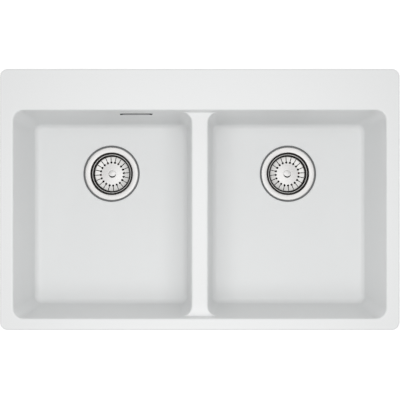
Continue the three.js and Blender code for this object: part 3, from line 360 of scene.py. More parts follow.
def soften(corners: Sequence[tuple[float, ...]], closed: bool, steps: int = 5) -> np.ndarray:
    """Rounds the corners of an outline.

    A corner with a radius becomes an arc that touches both of its sides. The arc's centre lies on the
    corner's bisector, and the arc takes less than half of each side.

    Args:
        corners: Each corner's two coordinates, and its radius where it is rounded.
        closed: Whether the last corner joins the first.
        steps: How many pieces an arc has.

    Returns:
        The outline's points, as rows of two.
    """
    flat = np.array([c[:2] for c in corners], float)
    points: list[np.ndarray] = []
    for i, corner in enumerate(corners):
        inner = closed or 0 < i < len(corners) - 1
        if len(corner) < 3 or corner[2] <= 0 or not inner:
            points.append(flat[i : i + 1])
            continue
        back, ahead = flat[i - 1] - flat[i], flat[(i + 1) % len(flat)] - flat[i]
        room = ROOM * min(np.linalg.norm(back), np.linalg.norm(ahead))
        back, ahead = back / np.linalg.norm(back), ahead / np.linalg.norm(ahead)
        half = math.acos(float(np.clip(back @ ahead, -1, 1))) / 2
        if half > QUARTER - STRAIGHT:
            points.append(flat[i : i + 1])
            continue
        reach = min(corner[2] / math.tan(half), room)
        radius = reach * math.tan(half)
        centre = flat[i] + (back + ahead) / np.linalg.norm(back + ahead) * radius / math.sin(half)
        start, end = flat[i] + back * reach - centre, flat[i] + ahead * reach - centre
        first = math.atan2(start[1], start[0])
        sweep = (math.atan2(end[1], end[0]) - first + math.pi) % (2 * math.pi) - math.pi
        angles = first + sweep * np.linspace(0, 1, steps + 1)
        points.append(centre + radius * np.stack([np.cos(angles), np.sin(angles)], axis=-1))
    return np.concatenate(points)


def lathe(corners: Sequence[tuple[float, ...]], segments: int = 72, ripple: Rule | None = None) -> Shell:
    """Turns a profile about Z.

    A point of the surface is its profile's radius times the cosine and sine of the angle, at the profile's
    height. A profile that starts and ends on the axis is solid, and any other closes on itself.

    Args:
        corners: Each corner's radius and height, and its rounding where it has one.
        segments: How many steps go round.
        ripple: Gives the radius from the profile's radius, height and the angle, for grips.

    Returns:
        The closed surface, with a turned grain.
    """
    solid = corners[0][0] == 0 and corners[-1][0] == 0
    profile = soften(corners, closed=not solid)
    r, z = profile.T
    area = np.sum(r * np.roll(z, -1) - np.roll(r, -1) * z) / 2
    if area < 0:  # it runs clockwise
        profile = profile[::-1]
    if solid:
        profile = profile[1:-1]
    angle = np.linspace(0, 2 * math.pi, segments, endpoint=False)[None, :]
    radius = np.broadcast_to(profile[:, :1], (len(profile), segments))
    height = np.broadcast_to(profile[:, 1:], (len(profile), segments))
    if ripple:
        radius = ripple(radius, height, angle)
    rings = np.stack([radius * np.cos(angle), radius * np.sin(angle), height], axis=-1)
    shell = stack(rings, hollow=not solid)
    along = np.concatenate([[0], np.cumsum(np.linalg.norm(np.diff(profile, axis=0), axis=1))])
    run = np.broadcast_to(along[:, None], radius.shape)
    grain = np.stack([np.cos(angle) + 0 * run, np.sin(angle) + 0 * run, run], axis=-1)
    shell.turned = grain.reshape(-1, 3) * MM
    return shell


def rod(radius: float, low: float, high: float, segments: int = 40) -> Shell:
    """Returns a plain round bar along Z."""
    return lathe([(0, low), (radius, low), (radius, high), (0, high)], segments)


def tube(path: np.ndarray, outer: np.ndarray, inner: np.ndarray, segments: int = 40) -> Shell:
    """Carries a round tube along a path.

    Each ring lies square to the path. Its first direction is the one before it, less its share along the
    path, so that the tube doesn't twist.

    Args:
        path: Points along the middle, as rows of xyz.
        outer: The outer radius at each point.
        inner: The bore's radius at each point.
        segments: How many steps go round.

    Returns:
        The closed surface, with its bore open at both ends.
    """
    ahead = np.gradient(path, axis=0)
    ahead /= np.linalg.norm(ahead, axis=1, keepdims=True)
    side = np.array([0.0, 1.0, 0.0]) if abs(ahead[0][1]) < 0.9 else np.array([1.0, 0.0, 0.0])
    sides = []
    for direction in ahead:
        side = side - direction * (side @ direction)
        side = side / np.linalg.norm(side)
        sides.append(side)
    first = np.array(sides)[:, None, :]
    second = np.cross(ahead, np.array(sides))[:, None, :]
    angle = np.linspace(0, 2 * math.pi, segments, endpoint=False)[None, :, None]
    spokes = first * np.cos(angle) + second * np.sin(angle)
    outside = path[:, None, :] + spokes * np.asarray(outer).reshape(-1, 1, 1)
    inside = path[:, None, :] + spokes * np.asarray(inner).reshape(-1, 1, 1)
    return stack(np.concatenate([outside, inside[::-1]]), hollow=True)


def prism(outline: np.ndarray, low: float, high: float) -> Shell:
    """Gives a flat outline a thickness.

    Args:
        outline: Points as rows of x and y, anticlockwise.
        low: The height of its underside.
        high: The height of its top.

    Returns:
        The closed surface.
    """
    level = [np.column_stack([outline, np.full(len(outline), z)]) for z in (low, high)]
    return stack(np.array(level))


def upright(shell: Shell, start: float) -> Shell:
    """Lays a prism's outline in the XZ plane, with its thickness along +Y from a start.

    Args:
        shell: The prism, made from height 0 upwards.
        start: The Y of its front.

    Returns:
        The turned shell.
    """
    x, y, z = shell.points.T
    return Shell(np.column_stack([x, z + start, y]), [face[::-1] for face in shell.faces])


def stadium(width: float, height: float, steps: int = 12) -> np.ndarray:
    """Works out the outline of a bar with round ends.

    Each end is a half circle, whose middle lies one radius inside it.

    Args:
        width: The bar's length over its ends.
        height: Its height.
        steps: How many pieces each half circle has.

    Returns:
        The outline's points, as rows of two.
    """
    radius = height / 2
    turn = np.linspace(-QUARTER, QUARTER, steps + 1)
    angle = np.concatenate([turn, turn + math.pi])
    middle = np.where(np.arange(len(angle)) <= steps, width / 2 - radius, radius - width / 2)
    return np.column_stack([middle + radius * np.cos(angle), radius * np.sin(angle)])


def rectangle(left: float, right: float, low: float, high: float) -> np.ndarray:
    """Returns a rectangle's corners, as rows of two, anticlockwise."""
    return np.array([[left, low], [right, low], [right, high], [left, high]])


def cross(length: float, width: float) -> list[np.ndarray]:
    """Returns the outlines of the two arms of a screw's cross."""
    long, short = length / 2, width / 2
    return [rectangle(-long, long, -short, short), rectangle(-short, short, -long, long)]


# ----------------------------------------------------------------------------------------------------
# Pieces
# ----------------------------------------------------------------------------------------------------


def add_object(name: str, data: bpy.types.ID) -> bpy.types.Object:
    """Makes an object and links it to the scene.

    Args:
        name: The object's name.
        data: Its mesh, light or camera.

    Returns:
        The object.
    """
    made = bpy.data.objects.new(name, data)
    bpy.context.scene.collection.objects.link(made)
    return made


def discard(piece: bpy.types.Object) -> None:
    """Removes an object and its mesh.

    Args:
        piece: The object.
    """
    mesh = piece.data
    bpy.data.objects.remove(piece)
    bpy.data.meshes.remove(mesh)


def make(name: str, shell: Shell) -> bpy.types.Object:
    """Makes an object of a shell, with its place in its mesh.

    Args:
        name: The object's name.
        shell: The surface.

    Returns:
        The object.
    """
    mesh = bpy.data.meshes.new(name)
    mesh.from_pydata((shell.points * MM).tolist(), [], shell.faces)
    if shell.turned is not None:
        grain = mesh.attributes.new("turned", "FLOAT_VECTOR", "POINT")
        grain.data.foreach_set("vector", shell.turned.ravel())
    return add_object(name, mesh)


def combine(body: bpy.types.Object, joining: Joining, shells: Iterable[Shell]) -> None:
    """Joins shells to a piece or cuts them from it, one after the other, and closes up slivers.

    Args:
        body: The piece that changes.
        joining: Whether the shells are joined or cut.
        shells: What is joined or cut. Each may hold several surfaces that lie apart.
    """
    for shell in shells:
        tool = make("tool", shell)
        modifier = body.modifiers.new("combine", "BOOLEAN")
        modifier.operation, modifier.solver, modifier.object = joining.value, "EXACT", tool
        done = bpy.data.meshes.new_from_object(body.evaluated_get(bpy.context.evaluated_depsgraph_get()))
        body.modifiers.clear()
        before, body.data = body.data, done
        done.name = body.name
        bpy.data.meshes.remove(before)
        discard(tool)
    clean = bmesh.new()
    clean.from_mesh(body.data)
    bmesh.ops.remove_doubles(clean, verts=clean.verts, dist=SLIVER)
    bmesh.ops.dissolve_degenerate(clean, dist=SLIVER, edges=clean.edges)
    clean.to_mesh(body.data)
    clean.free()


def finish_piece(
    piece: bpy.types.Object,
    body: str,
    finish: Finish,
    slot: str,
    replaces: Sequence[str],
    sharp_degrees: float = 35.0,
    bevel: float = 0.0,
    weighted: bool = False,
) -> bpy.types.Object:
    """Gives a piece its finish and shading and hangs it on its body.

    Args:
        piece: The object.
        body: The body that it rides on.
        finish: Its material.
        slot: The record's material slot. Not used.
        replaces: The solids that it stands for.
        sharp_degrees: Edges that turn more than this stay sharp.
        bevel: The width of a small bevel on every sharp edge, in millimetres.
        weighted: Whether large faces keep their own direction, for flats beside small roundings.

    Returns:
        The object.
    """
    piece.data.materials.clear()
    piece.data.materials.append(finish.material())
    piece.data.shade_smooth()
    piece.data.set_sharp_from_angle(angle=math.radians(sharp_degrees))
    if bevel:
        worn = piece.modifiers.new("edges", "BEVEL")
        worn.width, worn.segments, worn.limit_method = bevel * MM, 2, "ANGLE"
        worn.angle_limit = math.radians(sharp_degrees)
        worn.harden_normals = True
    if weighted:
        weigh = piece.modifiers.new("flats", "WEIGHTED_NORMAL")
        weigh.mode, weigh.keep_sharp, weigh.weight = "FACE_AREA", True, 80
    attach(piece, body)
    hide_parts(*replaces)
    log.info("%s: %d faces, on %s", piece.name, len(piece.data.polygons), body)
    return piece


def dress_faces(piece: bpy.types.Object, finish: Finish, axis: tuple[float, float], inside: Rule) -> None:
    """Gives some faces of a turned piece a finish of their own.

    Args:
        piece: The object.
        finish: The finish of those faces.
        axis: The x and y of the piece's axis, in millimetres.
        inside: Says which faces, from the radius and height of their middles and their directions.
    """
    mesh = piece.data
    count = len(mesh.polygons)
    middles, towards, index = np.empty(3 * count), np.empty(3 * count), np.empty(count, np.int32)
    mesh.polygons.foreach_get("center", middles)
    mesh.polygons.foreach_get("normal", towards)
    mesh.polygons.foreach_get("material_index", index)
    middles = middles.reshape(-1, 3) / MM
    radius = np.hypot(middles[:, 0] - axis[0], middles[:, 1] - axis[1])
    chosen = inside(radius, middles[:, 2], towards.reshape(-1, 3))
    mesh.materials.append(finish.material())
    index = np.where(chosen, len(mesh.materials) - 1, index).astype(np.int32)
    mesh.polygons.foreach_set("material_index", index)
    mesh.update()


def dress_nodes(names: Iterable[str], finish: Finish) -> None:
    """Gives solids that stay as they are their finish.

    Args:
        names: The solids.
        finish: Their material.
    """
    for name in names:
        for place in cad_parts[name].material_slots:
            place.link = "OBJECT"
            place.material = finish.material()
        log.info("%s: kept, in %s", name, finish.name)


def span(node: str) -> tuple[np.ndarray, np.ndarray]:
    """Returns a solid's lowest and highest corners, in millimetres."""
    low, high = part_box(node)
    return np.array(low) / MM, np.array(high) / MM


def middle_of(node: str) -> np.ndarray:
    """Returns the middle of a solid's box, in millimetres."""
    low, high = span(node)
    return (low + high) / 2


def clip_places() -> dict[str, tuple[float, float]]:
    """Returns the axis of each clip's screw by the clip's place, both from the solids."""
    names = [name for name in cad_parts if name.startswith("clip_screw_")]
    return {name.removeprefix("clip_screw_"): tuple(middle_of(name)[:2]) for name in names}


# ----------------------------------------------------------------------------------------------------
# The sink
# ----------------------------------------------------------------------------------------------------


@dataclass
class Basin:
    """The moulding with two bowls. Depths are from the rim's top, and sizes are in millimetres."""

    rim_width: float = 780
    rim_depth: float = 510
    rim_height: float = 9
    rim_corner: float = 15
    rim_edge: float = 3
    rim_foot: float = 0.4  # the slant at the foot of the rim's edge
    side_rim: float = 26
    front_rim: float = 23
    ledge: float = 81
    cutout_overhang: float = 10
    bowl_depth: float = 200
    bowl_corner: float = 20
    corner_taper: float = 0.25
    bowl_edge: float = 4
    floor_turn: float = 12
    draft_degrees: float = 3.4
    floor_fall: float = 3
    floor_shares: tuple[float, ...] = (0.08, 0.25, 0.45, 0.65, 0.82, 0.94, 1)  # of the way to the drain
    divider_width: float = 33
    divider_drop: float = 30
    divider_edge: float = 4
    wall: float = 6.5
    floor: float = 10
    bridge: float = 6
    bridge_corner: float = 1
    drain_to_back: float = 117
    recess_radius: float = 60.5
    recess_lip: float = 1.2
    recess_round: tuple[tuple[float, float], ...] = ((0.5, 0.1), (0.15, 0.4), (0, 0.9))  # out and down
    recess_depth: float = 3
    drain_radius: float = 45
    gusset: float = 7
    gusset_drop: float = 24
    gusset_spacing: float = 115
    gusset_places: tuple[float, ...] = (-2.5, -1.5, 1.5, 2.5)  # in spacings from the middle
    gusset_round: float = 6
    gusset_to_cutout: float = 8
    tap_radius: float = 17.5
    tap_depth: float = 5
    tap_spacing: float = 115
    groove_inset: float = 1.4
    groove_width: float = 5.8
    groove_depth: float = 1.9
    seal_play: float = 0.4
    boss_radius: float = 7
    boss_drop: float = 25
    boss_top: float = 4
    clip_hole: float = 2.9
    clip_hole_bottom: float = -34
    clip_hole_top: float = 3
    overflow_x: float = -127
    overflow_depth: float = 50
    slot_width: float = 66
    slot_height: float = 12
    slot_cut: float = 20  # how far the slot's shape runs to each side of the opening's back
    pad: float = 2.5
    pad_margin: float = 7
    corner_steps: int = 12

    def __post_init__(self) -> None:
        """Works out the places that follow from the sizes."""
        self.draft = math.radians(self.draft_degrees)
        self.opening_x = self.rim_width / 2 - self.side_rim
        self.opening_front = self.front_rim - self.rim_depth / 2
        self.opening_back = self.rim_depth / 2 - self.ledge
        self.fillet_start = self.bowl_depth - self.floor_fall - self.floor_turn * (1 - math.sin(self.draft))
        self.outer_at_fillet = self.lean(self.fillet_start)
        self.inner_at_fillet = self.divider_lean(self.fillet_start)
        self.drain_y = self.opening_back - self.drain_to_back
        far = self.opening_x - self.outer_at_fillet
        self.drain_x = (far + self.divider_width / 2 + self.inner_at_fillet) / 2
        self.pad_end = self.opening_back + self.wall + self.pad
        self.slot_z = self.rim_height - self.overflow_depth

    def lean(self, depth: float | np.ndarray) -> float | np.ndarray:
        """Returns how far an outer wall stands in from the opening at a depth."""
        return (depth - self.bowl_edge) * math.tan(self.draft)

    def divider_lean(self, depth: float) -> float:
        """Returns how far the divider's wall stands out from its top at a depth."""
        return (depth - self.divider_drop - self.divider_edge) * math.tan(self.draft)

    def corner(self, lean: np.ndarray) -> np.ndarray:
        """Returns a bowl's corner radius for a lean, less where it leans in and more where it flares."""
        return self.bowl_corner - lean * np.where(lean > 0, self.corner_taper, 1.0)

    def outlines(
        self, left: Values, right: Values, front: Values, back: Values, radius: Values, height: Values
    ) -> np.ndarray:
        """Draws rectangles with rounded corners.

        Each corner is a quarter circle about a middle that lies one radius inside both sides.

        Args:
            left: The left side of each ring.
            right: The right side of each ring.
            front: The front of each ring.
            back: The back of each ring.
            radius: The corner radius of each ring.
            height: The height of each ring.

        Returns:
            Rings as rows, columns and xyz, anticlockwise from above.
        """
        given = (np.asarray(value, float) for value in (left, right, front, back, radius, height))
        left, right, front, back, radius, height = (v.reshape(-1, 1) for v in np.broadcast_arrays(*given))
        corner = np.repeat(np.arange(4), self.corner_steps + 1)
        angle = QUARTER * (corner + np.tile(np.linspace(0, 1, self.corner_steps + 1), 4))
        x = np.where(np.isin(corner, (0, 3)), right - radius, left + radius) + radius * np.cos(angle)
        y = np.where(corner < 2, back - radius, front + radius) + radius * np.sin(angle)
        return np.stack([x, y, np.broadcast_to(height, x.shape)], axis=-1)

    def frame_rings(self, inset: Values, height: Values) -> np.ndarray:
        """Draws outlines that follow the rim's edge.

        Args:
            inset: How far inside the rim's edge each ring lies.
            height: The height of each ring.

        Returns:
            The rings.
        """
        inset = np.asarray(inset, float)
        x, y = self.rim_width / 2 - inset, self.rim_depth / 2 - inset
        return self.outlines(-x, x, -y, y, self.rim_corner - inset, height)

    def band(self, play: float, low: float, high: float) -> Shell:
        """Works out a flat band that follows the rim's edge in the seal's groove.

        Args:
            play: How far inside the groove's sides the band stays.
            low: The height of its underside.
            high: The height of its top.

        Returns:
            The closed surface.
        """
        outer, inner = self.groove_inset + play, self.groove_inset + self.groove_width - play
        return stack(self.frame_rings([outer, outer, inner, inner], [low, high, high, low]), hollow=True)

    def bowl_rings(
        self, side: Side, outer: Values, inner: Values, depth: Values, grow: float = 0
    ) -> np.ndarray:
        """Draws level outlines of one bowl.

        Args:
            side: Which bowl.
            outer: The lean of the three outer walls at each ring.
            inner: The lean of the divider's wall at each ring.
            depth: The depth of each ring.
            grow: How far outside the bowl's own surface the outlines lie.

        Returns:
            The rings.
        """
        outer, inner, depth = (np.asarray(v, float) for v in (outer, inner, depth))
        far = self.opening_x - outer + grow
        near = self.divider_width / 2 + inner - grow
        left, right = (-far, -near) if side is Side.LEFT else (near, far)
        front, back = self.opening_front + outer - grow, self.opening_back - outer + grow
        return self.outlines(left, right, front, back, self.corner(outer) + grow, self.rim_height - depth)

    def slab(self) -> Shell:
        """Works out the rim's plate.

        Its edge is a quarter circle: the inset is the radius less its cosine share, and the height gains
        its sine share.

        Returns:
            The closed surface.
        """
        angle = np.linspace(0, QUARTER, 7)
        inset = self.rim_edge * (1 - np.cos(angle))
        height = self.rim_height - self.rim_edge * (1 - np.sin(angle))
        return stack(self.frame_rings([self.rim_foot, 0, *inset], [0, self.rim_foot, *height]))

    def upper_space(self) -> Shell:
        """Works out the space above the divider.

        It widens with the walls' lean, and a quarter circle turns it out into the rim's top: the lean is
        minus the radius less its cosine share, and the depth is the radius less its sine share.

        Returns:
            The closed surface.
        """
        angle = np.linspace(0, QUARTER, 9)
        turn = self.bowl_edge * (np.cos(angle) - 1)
        lean = np.array([self.lean(self.divider_drop), *turn, -self.bowl_edge])
        depth = np.array([self.divider_drop, *(self.bowl_edge * (1 - np.sin(angle))), -PAST])
        x = self.opening_x - lean
        front, back = self.opening_front + lean, self.opening_back - lean
        return stack(self.outlines(-x, x, front, back, self.corner(lean), self.rim_height - depth))

    def bowl_space(self, side: Side) -> Shell:
        """Works out the space of one bowl, from the divider's top down through its drain.

        The divider's edge is a quarter circle, the wall leans in at the draft, the turn to the floor is an
        arc, and the floor runs from the arc's end to a circle about the drain while it falls smoothly.
        Below that circle lie the recess for the flange and the hole.

        Args:
            side: Which bowl.

        Returns:
            The closed surface.
        """
        angle = np.linspace(0, QUARTER, 7)
        depth = self.divider_drop + self.divider_edge * (1 - np.cos(angle))
        edge = self.bowl_rings(side, self.lean(depth), -self.divider_edge * (1 - np.sin(angle)), depth)
        above = edge[:1] + np.array([0, 0, PAST])
        angle = np.linspace(self.draft, QUARTER, 10)
        turn = self.floor_turn * (math.cos(self.draft) - np.cos(angle))
        depth = self.bowl_depth - self.floor_fall - self.floor_turn * (1 - np.sin(angle))
        walls = self.bowl_rings(side, self.outer_at_fillet + turn, self.inner_at_fillet + turn, depth)
        columns = edge.shape[1]
        round_angle = 2 * math.pi * (np.arange(columns) + 0.5) / columns
        spoke = np.stack([np.cos(round_angle), np.sin(round_angle), 0 * round_angle], axis=-1)
        floor_z = self.rim_height - self.bowl_depth
        middle = np.array([side.sign * self.drain_x, self.drain_y, floor_z])
        share = np.array(self.floor_shares)[:, None, None]
        circle = (middle + spoke * (self.recess_radius + self.recess_lip))[None]
        floor = walls[-1:] * (1 - share) + circle * share
        floor[..., 2] = (floor_z + self.floor_fall * (1 - share**2 * (3 - 2 * share)))[..., 0]
        steps = [*self.recess_round, (0, self.recess_depth)]
        recess = [middle + spoke * (self.recess_radius + out) - [0, 0, down] for out, down in steps]
        ends = (self.recess_depth, self.floor + PAST)
        hole = [middle + spoke * self.drain_radius - [0, 0, down] for down in ends]
        rings = np.concatenate([above, edge, walls, floor, np.array(recess + hole)])
        return stack(rings[::-1])

    def bowl_outside(self, side: Side) -> Shell:
        """Works out the outside of one bowl, one wall's thickness outside its space.

        Args:
            side: Which bowl.

        Returns:
            The closed surface.
        """
        turn_radius = self.floor_turn + self.wall
        bottom = self.bowl_depth + self.floor
        start = bottom - turn_radius * (1 - math.sin(self.draft))
        angle = np.linspace(self.draft, QUARTER, 9)
        turn = turn_radius * (math.cos(self.draft) - np.cos(angle))
        top = np.array([self.rim_height / 2, self.divider_drop + self.divider_edge])
        outer = np.concatenate([self.lean(top), self.lean(start) + turn])
        inner = np.concatenate([[0, 0], self.divider_lean(start) + turn])
        depth = np.concatenate([top, bottom - turn_radius * (1 - np.sin(angle))])
        return stack(self.bowl_rings(side, outer, inner, depth, grow=self.wall)[::-1])

    def bridge_block(self) -> Shell:
        """Works out the block that the divider's top and the walls at its ends are cut from.

        Returns:
            The closed surface.
        """
        x = self.divider_width / 2 + self.bowl_corner
        height = [self.rim_height - self.divider_drop - self.bridge, self.rim_height / 2]
        front, back = self.opening_front - self.wall, self.opening_back + self.wall
        return stack(self.outlines(-x, x, front, back, self.bridge_corner, height))

    def gusset_rib(self, x: float) -> Shell:
        """Works out a rib under the tap ledge, from the bowls' back wall to near the worktop's edge.

        Args:
            x: Where its middle lies.

        Returns:
            The closed surface.
        """
        start, end = self.opening_back, self.rim_depth / 2 - self.cutout_overhang - self.gusset_to_cutout
        corners = [
            (start + 2, self.rim_height / 2), (start + 2, -2 * self.gusset_drop),
            (start + self.wall, -2 * self.gusset_drop), (end, -self.gusset_drop / 2, self.gusset_round),
            (end, self.rim_height / 2),
        ]
        rib = prism(soften(corners, closed=True), 0, self.gusset)
        y, z, along = rib.points.T
        return Shell(np.column_stack([along + x - self.gusset / 2, y, z]), rib.faces)

    def added(self) -> list[Shell]:
        """Works out what joins the rim's plate: the bowls, bridge, ribs, clips' bosses and overflow's pad.

        Returns:
            The shapes, in the order in which they join it.
        """
        width, height = (size + 2 * self.pad_margin for size in (self.slot_width, self.slot_height))
        start = self.opening_back - self.wall / 2
        pad = upright(prism(stadium(width, height, 16), 0, self.pad_end - start), start)
        boss = lathe([
            (0, -self.boss_drop), (self.boss_radius, -self.boss_drop, 0.8), (self.boss_radius, self.boss_top),
            (0, self.boss_top),
        ], 32)
        bosses = [boss.placed(x, y) for x, y in clip_places().values()]
        return [
            together(self.bowl_outside(side) for side in Side),
            self.bridge_block(),
            together(self.gusset_rib(place * self.gusset_spacing) for place in self.gusset_places),
            together([*bosses, pad.placed(self.overflow_x, 0, self.slot_z)]),
        ]

    def taken(self) -> list[Shell]:
        """Works out what is cut from the moulding: the bowls' spaces, slot, groove and all holes.

        Returns:
            The shapes, in the order in which they are cut.
        """
        outline = stadium(self.slot_width, self.slot_height, 16)
        slot = upright(prism(outline, 0, 2 * self.slot_cut), self.opening_back - self.slot_cut)
        groove = self.band(0, -PAST, self.groove_depth)
        hole = rod(self.clip_hole, self.clip_hole_bottom, self.clip_hole_top, 24)
        holes = [hole.placed(x, y) for x, y in clip_places().values()]
        tap = rod(self.tap_radius, -PAST, self.tap_depth, 64)
        taps = [tap.placed(n * self.tap_spacing, self.rim_depth / 2 - self.ledge / 2) for n in (0, 1)]
        return [
            self.upper_space(),
            together(self.bowl_space(side) for side in Side),
            together([slot.placed(self.overflow_x, 0, self.slot_z), groove, *holes, *taps]),
        ]

    def build(self) -> None:
        """Builds the basin and its seal."""
        basin = make("basin_moulding", self.slab())
        combine(basin, Joining.UNION, self.added())
        combine(basin, Joining.DIFFERENCE, self.taken())
        finish_piece(basin, "sink", COMPOSITE, "composite", ["basin"], sharp_degrees=30, weighted=True)
        low, high = span("rim_seal")
        strip = make("rim_seal_strip", self.band(self.seal_play, low[2], high[2]))
        finish_piece(strip, "sink", FOAM, "seal_foam", ["rim_seal"])


@dataclass
class Strainer:
    """One basket strainer waste. Heights are from its flange's top, and sizes are in millimetres."""

    side: Side
    sheet: float = 1.2
    flange_radius: float = 57.2
    flange_drop: float = 1.6
    flange_edge: float = 0.5  # how far down its rolled edge starts
    flange_roll: float = 1.4
    flange_lip: float = 1.1
    mouth_round: float = 4
    cup_radius: float = 42.8
    seat_depth: float = 9
    seat_end: float = 13
    lower_radius: float = 38.6
    bottom_radius: float = 35.6
    cup_depth: float = 35
    pilot_radius: float = 3.4
    outlet_radius: float = 6.5
    outlet_circle: float = 21
    outlets: int = 6
    seal_bore: float = 46.8
    seal_radius: float = 60.1
    basket_sheet: float = 0.8
    rim_radius: float = 42.2
    rim_depth: float = 6
    rim_roll: float = 1.7
    rim_dip: float = 0.3  # how far down the rolled rim's inner edge lies
    petal_outer: float = 37.2
    petal_inner: float = 25.4
    wall_bottom: float = 11
    petal_top: float = 18.2
    petal_bottom: float = 19.4
    dome: float = 0.6
    slots: int = 20
    slot_width: float = 1.6
    slot_turn: float = 0.25  # of the step between two slots
    hole_radius: float = 2.4
    hole_shift: float = 0.4  # how far inside the petals' inner ends the holes' middles lie
    lip_inner: float = 39.2
    lip_outer: float = 40.9
    lip_bottom: float = 10.9
    lip_top: float = 7.7
    lip_seat: tuple[float, float] = (40.38, 9.17)  # its slant's lower radius and upper depth
    knob_radius: float = 8
    knob_height: float = 2
    knob_play: float = 0.1
    knob_edge: float = 0.3
    knob_rest: float = 2  # how far outside the knob the disc round it is level
    knob_top: float = 2
    stud_radius: float = 2.7
    stud_length: float = 6
    stud_hole: float = 3.1
    scoop_shift: float = 3.4
    scoop_degrees: float = 28
    stem_radius: float = 4.6
    stem_bore: float = 3.1
    stem_hollow: float = 5.4
    tip_radius: float = 3.4
    tip_length: float = 4.5
    screw_slant: tuple[float, float] = (0.4, 1)  # inwards and along, at the tip
    screw_radius: float = 3
    screw_length: float = 24
    screw_head: float = 8
    screw_head_height: float = 6
    screw_play: float = 0.1
    socket_radius: float = 3.8
    socket_depth: float = 4.8

    def __post_init__(self) -> None:
        """Takes the axis and the flange's height from the solid."""
        self.x, self.y = middle_of(f"strainer_cup_{self.side.value}")[:2]
        self.z = span(f"strainer_cup_{self.side.value}")[1][2]

    def set_down(self, shell: Shell) -> Shell:
        """Returns a shell moved from the strainer's own axis to its place."""
        return shell.placed(self.x, self.y, self.z)

    def ends(self, node: str) -> tuple[float, float]:
        """Returns the height of a solid's bottom and top from the flange's top."""
        low, high = span(f"{node}_{self.side.value}")
        return low[2] - self.z, high[2] - self.z

    def cup(self) -> bpy.types.Object:
        """Works out the pressed cup: flange, rounded mouth, seat, tapered wall and pierced bottom.

        Returns:
            The piece.
        """
        t, edge, lip = self.sheet, self.flange_radius, self.flange_radius - self.flange_lip
        drop = -self.flange_drop
        mouth, lower, bottom = self.cup_radius, self.lower_radius, self.bottom_radius
        seat, end, floor = -self.seat_depth, -self.seat_end, -self.cup_depth
        profile = [
            (edge, drop), (edge, -self.flange_edge, 0.6), (edge - self.flange_roll, 0, 2),
            (mouth, 0, self.mouth_round), (mouth, seat, 1), (lower, end, 1), (bottom, floor, 3),
            (self.pilot_radius, floor), (self.pilot_radius, floor - t), (bottom + t / 2, floor - t, 3),
            (lower + t, end - t / 2, 1), (mouth + t, seat - t / 2, 1), (mouth + t, -t, self.mouth_round - t),
            (lip, -t), (lip, drop),
        ]
        cup = make(f"strainer_cup_pressed_{self.side.value}", self.set_down(lathe(profile, 96)))
        outlet = rod(self.outlet_radius, floor - t - PAST, floor + PAST).placed(self.outlet_circle)
        outlets = together(outlet.spun(360 * i / self.outlets) for i in range(self.outlets))
        combine(cup, Joining.DIFFERENCE, [self.set_down(outlets)])
        return cup

    def keyhole(self) -> Shell:
        """Works out what cuts the slot between two petals: a slit that ends in a round hole.

        The hole is the part of a circle that starts and ends where the slit's sides meet it.

        Returns:
            The closed surface, on the strainer's own axis, with the slit along +X.
        """
        neck = math.asin(self.slot_width / 2 / self.hole_radius)  # the angle where a side meets the hole
        angle = np.linspace(neck, 2 * math.pi - neck, 15)
        circle, end = self.petal_inner - self.hole_shift, self.petal_outer - self.basket_sheet
        half = self.slot_width / 2
        head = np.column_stack([circle + self.hole_radius * np.cos(angle), self.hole_radius * np.sin(angle)])
        tail = np.array([[end, -half], [end, half]])
        past = 2 * self.basket_sheet
        return prism(np.vstack([head, tail]), -self.petal_bottom - past, -self.petal_top + past)

    def basket(self) -> bpy.types.Object:
        """Works out the pressed basket: rolled rim, upright band, petals between slots and a domed middle.

        Returns:
            The piece.
        """
        t, rim, roll = self.basket_sheet, self.rim_radius, self.rim_radius - self.rim_roll
        wall = self.petal_outer
        top, band, high, low = -self.rim_depth, -self.wall_bottom, -self.petal_top, -self.petal_bottom
        disc, seat, inner = self.knob_radius + self.knob_rest, low + self.dome, self.petal_inner
        profile = [
            (rim, top - t, 0.3), (rim - t, top, 0.6), (roll, top - self.rim_dip, 0.4), (wall, band, 1),
            (wall, high, 0.8), (inner, low, 1.5), (disc, seat, 4), (self.stud_hole, seat),
            (self.stud_hole, seat - t), (disc, seat - t, 4), (inner + 0.4, low - t, 2),
            (wall + t, high - t / 2, 1.2), (wall + t, band - t / 2, 1), (roll, top - 2 * t, 0.4),
            (rim, top - 2 * t, 0.3),
        ]
        basket = make(f"basket_pressed_{self.side.value}", self.set_down(lathe(profile, 120)))
        step = 360 / self.slots
        keyholes = together(self.keyhole().spun(step * (i + self.slot_turn)) for i in range(self.slots))
        combine(basket, Joining.DIFFERENCE, [self.set_down(keyholes)])
        return basket

    def knob(self) -> bpy.types.Object:
        """Works out the knob: a low dome on a stud, with a scoop in front for a fingertip.

        The scoop is what a cone cuts off whose axis lies behind the knob's own, so that it is widest in
        front and runs out at the sides.

        Returns:
            The piece.
        """
        low = self.dome - self.petal_bottom + self.knob_play
        r, top, foot = self.knob_radius, low + self.knob_height, low - self.stud_length
        dome = lathe([
            (0, foot), (self.stud_radius, foot), (self.stud_radius, low), (r - self.knob_edge, low),
            (r, low + self.knob_edge, 0.2), (r, top - self.knob_edge / 2, 0.3), (self.knob_top, top, 3),
            (0, top),
        ], 96)
        knob = make(f"basket_knob_turned_{self.side.value}", self.set_down(dome))
        steep = math.tan(math.radians(self.scoop_degrees))
        edge, far = r + 0.4, r + 4  # where the cone starts and ends, both outside the knob
        cone = [(edge, top), (far, top - (far - edge) * steep), (far, top + PAST), (edge, top + PAST)]
        combine(knob, Joining.DIFFERENCE, [self.set_down(lathe(cone, 96).placed(y=self.scoop_shift))])
        return knob

